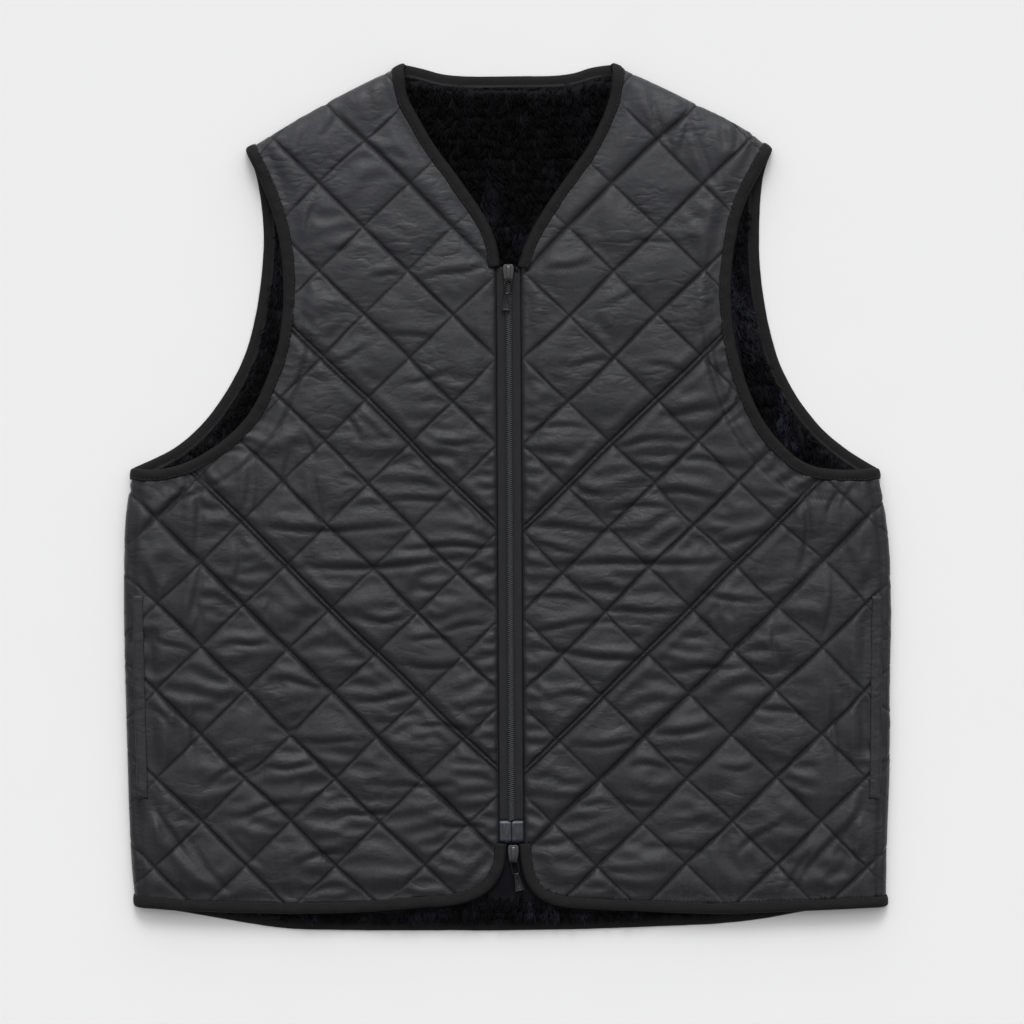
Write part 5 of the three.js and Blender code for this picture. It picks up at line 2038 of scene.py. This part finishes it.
@dataclass
class PocketWelt:
    """A narrow folded welt beside the side fold, sewn down along its inner edge."""

    panel: FrontPanel
    inset: float = 8.4
    width: float = 7.0
    thickness: float = 1.5
    cut: float = 0.02  # width of the piece as cut, in metres

    def build(self, cloth: Material) -> None:
        """Makes the welt.

        Args:
            cloth: the shell's material.
        """
        half, panel = self.panel.half, self.panel
        rows = np.arange(panel.welt_bottom, panel.welt_top + 0.1, 2.0)
        reference = np.array([[half.side.value * 286.0, y] for y in rows])
        foot, _, inward = half.side_fold.nearest(reference)
        noise = Noise(650 + half.side.value)
        ends = np.minimum(rows - panel.welt_bottom, panel.welt_top - rows)
        section = ((0.0, 0.0), (0.0, 0.5), (0.06, 0.85), (0.2, 1.0), (0.5, 0.8), (0.75, 0.9),
                   (0.92, 0.85), (1.0, 0.45), (1.0, 0.0))
        profile = np.array(section) * [self.width, 1]
        rings = np.empty((len(rows), len(profile), 3))
        for k, (over, up) in enumerate(profile):
            wave = 0.35 * noise(rows / 13, k * 0.2)
            at = foot + inward * (self.inset + over + wave)[:, None]
            thick = self.thickness * np.clip(0.5 + ends / 3, 0.4, 1)
            swell = 0.25 * noise(rows / 9, 20 + k * 0.3)
            rings[:, k] = half.drape(at, LEVELS.wall + 0.1 + up * (thick + swell))
        made = tube(f"pocket_welt_cloth_{half.side.word}", rings)
        dressed(made, cloth, "quilted_shell", f"pocket_welt_{half.side.word}")
        length = float(rows[-1] - rows[0]) * MM
        0.5 * self.cut * length


# ---- Zip ----


@dataclass
class ZipSide:
    """Half of the zip: woven tape, coil and the film at the tape's end."""

    side: Side
    gap: float = 0.15
    tape_edge: float = 9.1
    tooth_pitch: float = 1.46
    tooth_reach: float = 1.28  # from the zip's axis to a tooth's middle
    tooth_skew: float = 0.08
    film_rise: float = 0.35
    cut: float = 0.0105  # width of what shows of the tape, in metres
    film_cut: float = 0.0164  # length of the film, in metres

    def strip(self, name: str, bottom: float, top: float, thickness: float, wave: float) -> Piece:
        """A strip of tape along the zip.

        Args:
            name: the object's name.
            bottom: its lower end.
            top: its upper end.
            thickness: of the strip.
            wave: how far its surface rises and falls.

        Returns:
            The strip.
        """
        columns = self.side.value * np.array([self.gap, 1.2, 2.6, 4, 5.4, 6.6, 7.8, self.tape_edge])
        rows = np.linspace(bottom, top, max(3, round((top - bottom) / 2.2)))
        noise = Noise(660 + self.side.value)
        y, x = (a.ravel() for a in np.meshgrid(rows, columns, indexing="ij"))
        rise = wave * (0.5 + 0.5 * noise(y / 12, x / 6)) * ease(np.abs(x), 2.4, 5)
        upper = np.column_stack([x, y, LEVELS.front + thickness + rise])
        lower = np.column_stack([x, y, np.full(len(x), LEVELS.front)])
        faces = quads(len(rows), len(columns))[:, [0, 3, 2, 1]]
        if self.side is Side.LEFT:
            faces = faces[:, ::-1]
        return closed_sheet(name, ZIP.place(upper), ZIP.place(lower), faces)

    def build(self, weave: Material, film: Material, nylon: Material) -> None:
        """Makes the tape, the film and the coil.

        Args:
            weave: the tape's material.
            film: the film's material.
            nylon: the coil's material.
        """
        word = self.side.word
        height = LEVELS.tape_top - LEVELS.front
        tape = self.strip(f"woven_tape_{word}", ZIP.film_top, ZIP.top - 0.3, height, 0.5)
        end = self.strip(
            f"film_end_{word}", ZIP.bottom, ZIP.film_top, height + 0.25, self.film_rise
        )
        length = (ZIP.top - ZIP.film_top) * MM
        for piece, node, slot, material, size in (
            (tape, f"zip_tape_{word}", "zip_tape", weave, (self.cut, length)),
            (end, f"zip_film_{word}", "zip_film", film, (self.cut, self.film_cut)),
        ):
            dressed(piece, material, slot, node)
        self.coil(nylon)

    def coil(self, nylon: Material) -> None:
        """Sets the coil's teeth along the tape's edge.

        Args:
            nylon: the coil's material.
        """
        side = self.side.value
        first = ZIP.film_top + 0.6 + (0 if self.side is Side.LEFT else self.tooth_pitch / 2)
        places = np.arange(first, ZIP.chain_top, self.tooth_pitch)
        middle = [side * self.tooth_reach, 0, LEVELS.coil_bottom + 0.1]
        middles = np.tile(middle, (len(places), 1))
        middles[:, 1] = places
        skew = self.tooth_skew
        ways = np.tile([side * (1 - skew * ZIP.lean), side * skew, 0], (len(places), 1))
        name = f"coil_teeth_{self.side.word}"
        made = repeated(name, self.tooth(), ZIP.place(middles), frames_along(ways))
        dressed(made, nylon, "zip_coil", f"zip_coil_{self.side.word}")

    def tooth(self) -> Piece:
        """One turn of the coil: a rounded loop with a wider head towards the other side."""
        made = block("tooth", (2.5, 1.02, 1.4), (0.05, 0, 0.72))
        with chosen(made, "FACE", lambda at, normal: normal.x < -0.9):
            bpy.ops.mesh.extrude_region_move(TRANSFORM_OT_translate={"value": (-0.28 * MM, 0, 0)})
            bpy.ops.transform.resize(value=(1, 0.62, 0.55))
        with chosen(made, "FACE", lambda at, normal: normal.x > 0.9):
            bpy.ops.transform.resize(value=(1, 0.75, 0.5))
        return rounded(made, 0.3, 1)


@dataclass(frozen=True)
class SliderPlace:
    """Where a slider stands on the zip and how its pull hangs."""

    name: str
    x: float
    y: float
    base: float
    lean: float
    droop: float


@dataclass
class Slider:
    """A zip slider with its arched rail, its wire link and its flared tab."""

    place: SliderPlace
    length: float = 13.0
    shoulder: float = 8.2
    tail: float = 6.0
    height: float = 2.8
    plate_top: float = 1.0  # thickness of the upper plate
    plate_bottom: float = 0.85
    post: tuple[float, float] = (2.2, 4.6)  # width and length
    post_y: float = 3.2
    wall: tuple[float, float, float] = (0.8, 5.4, 1.2)
    wall_y: float = 1.6
    rail_width: float = 2.6
    rail_height: float = 3.0
    rail_thickness: float = 1.2
    rail_room: float = 1.8
    rail_steps: int = 20
    rail_inset: float = 0.4  # of its feet from the slider's ends, and into the plate
    play: float = 0.3  # between the rail and the link
    rim: float = 0.55  # slope round the plates' upper faces
    panel_rim: float = 0.85  # round the tab's sunk faces
    panel_depth: float = 0.32
    link_length: float = 11.5
    link_inner: float = 4.0
    wire: float = 1.0
    tab_length: float = 12.6
    tab_top: float = 3.2
    tab_bottom: float = 7.0
    tab_thickness: float = 1.4
    knuckle: float = 1.25
    bore: float = 0.85

    def slider_matrix(self) -> Matrix:
        """From the slider's own frame to the vest's, in metres."""
        p = self.place
        zip_frame = Matrix.Translation((ZIP.x * MM, 0, 0)) @ Matrix.Rotation(ZIP.lean, 4, "Z")
        return zip_frame @ Matrix.Translation(Vector((p.x, p.y, p.base)) * MM)

    def pull_matrix(self) -> Matrix:
        """From the link's own frame to the vest's, in metres."""
        hinge = -self.length / 2 + self.rail_inset + self.rail_thickness
        hinge += self.wire / 2 + self.play
        at = Matrix.Translation(Vector((0, hinge, self.height + self.rail_room / 2)) * MM)
        lean, droop = self.place.lean, self.place.droop
        turned = Matrix.Rotation(lean, 4, "Z") @ Matrix.Rotation(droop, 4, "X")
        return self.slider_matrix() @ at @ turned

    def tab_matrix(self) -> Matrix:
        """From the tab's own frame to the vest's, in metres."""
        moved = Matrix.Translation((0, -self.link_length * MM, 0))
        return self.pull_matrix() @ moved @ Matrix.Rotation(-self.place.droop, 4, "X")

    def build(self, metal: Material, polished: Material) -> None:
        """Makes the slider, its link and its tab.

        Args:
            metal: the plated metal.
            polished: the same, rubbed brighter.
        """
        name = self.place.name
        for made, matrix, node, body, look in (
            (self.body(), self.slider_matrix(), "slider", "vest", polished),
            (self.link(), self.pull_matrix(), "pull_link", f"{name}_link", metal),
            (self.tab(), self.tab_matrix(), "pull_tab", f"{name}_tab", metal),
        ):
            made.data.transform(matrix)
            select_only(made)
            bpy.ops.object.shade_smooth_by_angle(angle=SMOOTH_ANGLE)
            dressed(made, look, "zip_metal", f"{name}_{node}", body)

    def body(self) -> Piece:
        """Two plates joined by a post, with the rail over the upper one."""
        top, word = self.height, self.place.name
        upper = self.plate(f"{word}_slider_body", top - self.plate_top, top)
        lower = self.plate("lower_plate", 0.0, self.plate_bottom)
        post = block("post", (*self.post, top - 1.2), (0, self.post_y, top / 2))
        made = combined(combined(upper, lower), rounded(post, 0.7, 3))
        for side in (-1, 1):
            x = side * (self.shoulder / 2 - 0.6)
            wall = block("wall", self.wall, (x, self.wall_y, top - 1.2))
            made = combined(made, rounded(wall, 0.25))
        return combined(made, self.rail())

    def plate(self, name: str, bottom: float, top: float) -> Piece:
        """A plate with shoulders that narrows to both ends.

        Args:
            name: the object's name.
            bottom: height of its underside.
            top: height of its upper face.

        Returns:
            The plate.
        """
        end = self.length / 2
        made = block(name, (self.tail, self.length, top - bottom), (0, 0, (top + bottom) / 2))
        corners = (end * 0.25, end * 0.75)
        for y in corners:
            with chosen(made, "FACE", lambda at, normal: True):
                bpy.ops.mesh.bisect(plane_co=(0, y * MM, 0), plane_no=(0, 1, 0))
        with chosen(made, "VERT", lambda at, _: min(abs(at.y - y) for y in corners) < 0.05):
            bpy.ops.transform.resize(value=(self.shoulder / self.tail, 1, 1))
        with chosen(made, "FACE", lambda at, normal: normal.z > 0.9):
            bpy.ops.mesh.inset(thickness=self.rim * MM)
            bpy.ops.transform.translate(value=(0, 0, 0.12 * MM))
        return rounded(made, 0.28, 3)

    def rail(self) -> Piece:
        """The arch that holds the link, drawn from a flat bar step by step."""
        span = (self.length - self.rail_thickness) / 2 - self.rail_inset
        foot, top = self.height - self.rail_inset, self.height + self.rail_height
        radius = top - self.rail_thickness / 2 - foot - 0.6
        size = (self.rail_width, self.rail_thickness, 0.6)
        made = block("rail", size, (0, -span, foot + 0.3))
        turn = math.pi / self.rail_steps
        arch = [
            (math.copysign(abs(math.cos(angle)) ** 0.5, math.cos(angle)), math.sin(angle) ** 0.45)
            for angle in (math.pi * step / self.rail_steps for step in range(self.rail_steps + 1))
        ]
        with chosen(made, "FACE", lambda at, normal: normal.z > 0.9):
            for (before, lower), (after, higher) in zip(arch, arch[1:]):
                shift = Vector((0, span * (before - after), radius * (higher - lower))) * MM
                bpy.ops.mesh.extrude_region_move(TRANSFORM_OT_translate={"value": shift})
                bpy.ops.object.mode_set(mode="OBJECT")
                end = [v.co for v in made.data.vertices if v.select]
                middle = sum(end, Vector()) / len(end)
                bpy.ops.object.mode_set(mode="EDIT")
                bpy.ops.transform.rotate(value=turn, orient_axis="X", center_override=middle)
        return rounded(made, 0.3, 3)

    def link(self) -> Piece:
        """A wire ring drawn out to a long loop, its near bar on the hinge."""
        radius = (self.link_inner + self.wire) / 2
        deselect()
        bpy.ops.mesh.primitive_torus_add(
            major_segments=40, minor_segments=12,
            major_radius=radius * MM, minor_radius=self.wire / 2 * MM,
        )
        made = bpy.context.object
        made.name = f"{self.place.name}_link_wire"
        with chosen(made, "VERT", lambda at, normal: at.y < -0.01):
            bpy.ops.transform.translate(value=(0, (radius - self.link_length) * MM, 0))
        with chosen(made, "VERT", lambda at, normal: at.y > -0.01):
            bpy.ops.transform.translate(value=(0, -radius * MM, 0))
            bpy.ops.transform.resize(value=(1, 0.6, 1), center_override=(0, 0, 0))
        with chosen(made, "VERT", lambda at, normal: at.y < radius - self.link_length):
            bpy.ops.transform.resize(value=(1.06, 1, 1))
        return made

    def tab(self) -> Piece:
        """A flared plate with a sunk face, on a knuckle bored for the link."""
        middle = -(self.tab_length + self.bore) / 2
        size = (self.tab_top, self.tab_length - self.bore, self.tab_thickness)
        made = block(f"{self.place.name}_tab_plate", size, (0, middle, 0))
        with chosen(made, "VERT", lambda at, normal: at.y < middle):
            bpy.ops.transform.resize(value=(self.tab_bottom / self.tab_top, 1, 1))
        for up in (1, -1):
            sink = {"value": (0, 0, -self.panel_depth * up * MM)}
            with chosen(made, "FACE", lambda at, normal, up=up: normal.z * up > 0.9):
                bpy.ops.mesh.inset(thickness=self.panel_rim * MM)
                bpy.ops.mesh.extrude_region_move(TRANSFORM_OT_translate=sink)
                bpy.ops.transform.resize(value=(0.93, 0.97, 1))
        made = rounded(made, 0.3, 3)
        made = combined(made, rounded(rod("knuckle", self.knuckle, self.tab_top), 0.2))
        bore = rod("bore", self.bore, 2 * self.tab_top)
        return combined(made, bore, "DIFFERENCE")


SLIDERS = (
    SliderPlace("upper", 0.0, 167.0, LEVELS.tape_top + 0.3, -0.09, 0.045),
    SliderPlace("lower", 1.3, -265.4, LEVELS.front, 0.2, 0.12),
)


# ---- Studio ----


@dataclass
class Studio:
    """A pale floor, soft light from the upper left, and the camera straight above."""

    centre: tuple[float, float] = (0.003375, -0.010875)
    distance: float = 3.0
    view_width: float = 0.763
    sensor: float = 36.0
    floor_size: float = 8.0
    floor_colour: Colour = (0.86, 0.86, 0.862)
    window: tuple[float, float, float] = (0.02, 0.72, 0.62)  # towards the brightest light
    window_edge: float = 0.25  # cosine at which the window's light begins
    window_light: float = 1.24
    even_light: float = 0.28
    sun_light: float = 1.12
    sun_spread: float = 0.4  # radians

    def floor(self) -> None:
        """Lays the floor."""
        deselect()
        bpy.ops.mesh.primitive_plane_add(size=self.floor_size)
        floor = bpy.context.object
        floor.name = "floor"
        s = Shader("pale_floor")
        soft = s.noise((60, 60, 60), 3)
        floor.data.materials.append(s.finish(
            Base_Color=s.shaded(self.floor_colour, 0.985, 1, soft),
            Roughness=soft * 0.1 + 0.85,
            Specular_IOR_Level=0.1,
        ))

    def lights(self) -> None:
        """Sets the soft light of a large window at the upper left, and a weaker lamp beside it."""
        lamp = bpy.data.lights.new("key_light", "SUN")
        lamp.energy = self.sun_light
        lamp.angle = self.sun_spread
        key = bpy.data.objects.new("key_light", lamp)
        key.rotation_euler = (-Vector(self.window)).to_track_quat("-Z", "Y").to_euler()
        bpy.context.scene.collection.objects.link(key)
        world = bpy.data.worlds.new("window_light")
        world.use_nodes = True
        sky = Nodes(world.node_tree)
        way = sky.node("ShaderNodeTexCoord").outputs["Generated"]
        facing = sky.node("ShaderNodeVectorMath", {"operation": "DOT_PRODUCT"})
        sky.feed(facing.inputs[0], way)
        sky.feed(facing.inputs[1], Vector(self.window).normalized())
        near = sky.steps(Channel(sky, facing.outputs["Value"]), self.window_edge, 1.0)
        background = world.node_tree.nodes["Background"]
        background.inputs["Color"].default_value = (1.0, 1.0, 1.0, 1.0)
        sky.feed(background.inputs["Strength"], near * self.window_light + self.even_light)
        bpy.context.scene.world = world

    def camera(self) -> None:
        """Sets the camera straight above the vest."""
        lens = bpy.data.cameras.new("camera")
        lens.sensor_width = self.sensor
        lens.lens = self.sensor * (self.distance - LEVELS.front * MM) / self.view_width
        camera = bpy.data.objects.new("camera", lens)
        camera.location = (*self.centre, self.distance)
        bpy.context.scene.collection.objects.link(camera)
        bpy.context.scene.camera = camera

    def build(self) -> None:
        """Sets everything up."""
        self.floor()
        self.lights()
        self.camera()
        bpy.context.scene.view_settings.view_transform = "Standard"


# ---- The vest ----


def main() -> None:
    """Builds the vest and its studio."""
    logging.basicConfig(level=logging.INFO, format="%(message)s")
    Studio().build()
    cloth, pile = ShellCloth().material(), FurPile().material()
    tape, thread = BindingTape().material(), Thread().material()
    weave, film, nylon = ZipTape().material(), Film().material(), CoilNylon().material()
    metal = PlatedMetal().material()
    polished = PlatedMetal((0.06, 0.06, 0.063), roughness=0.3, name="rubbed_metal").material()
    plan = BackPlan()
    BackShell(plan).build(cloth)
    Lining(plan).build(pile)
    for half in HALVES.values():
        panel = FrontPanel(half)
        panel.build(cloth, thread)
        PocketWelt(panel).build(cloth)
        for binding in front_bindings(half):
            binding.build(tape, thread)
        ZipSide(half.side).build(weave, film, nylon)
    for binding in back_bindings():
        binding.build(tape, thread)
    for place in SLIDERS:
        Slider(place).build(metal, polished)


if __name__ == "__main__":
    main()
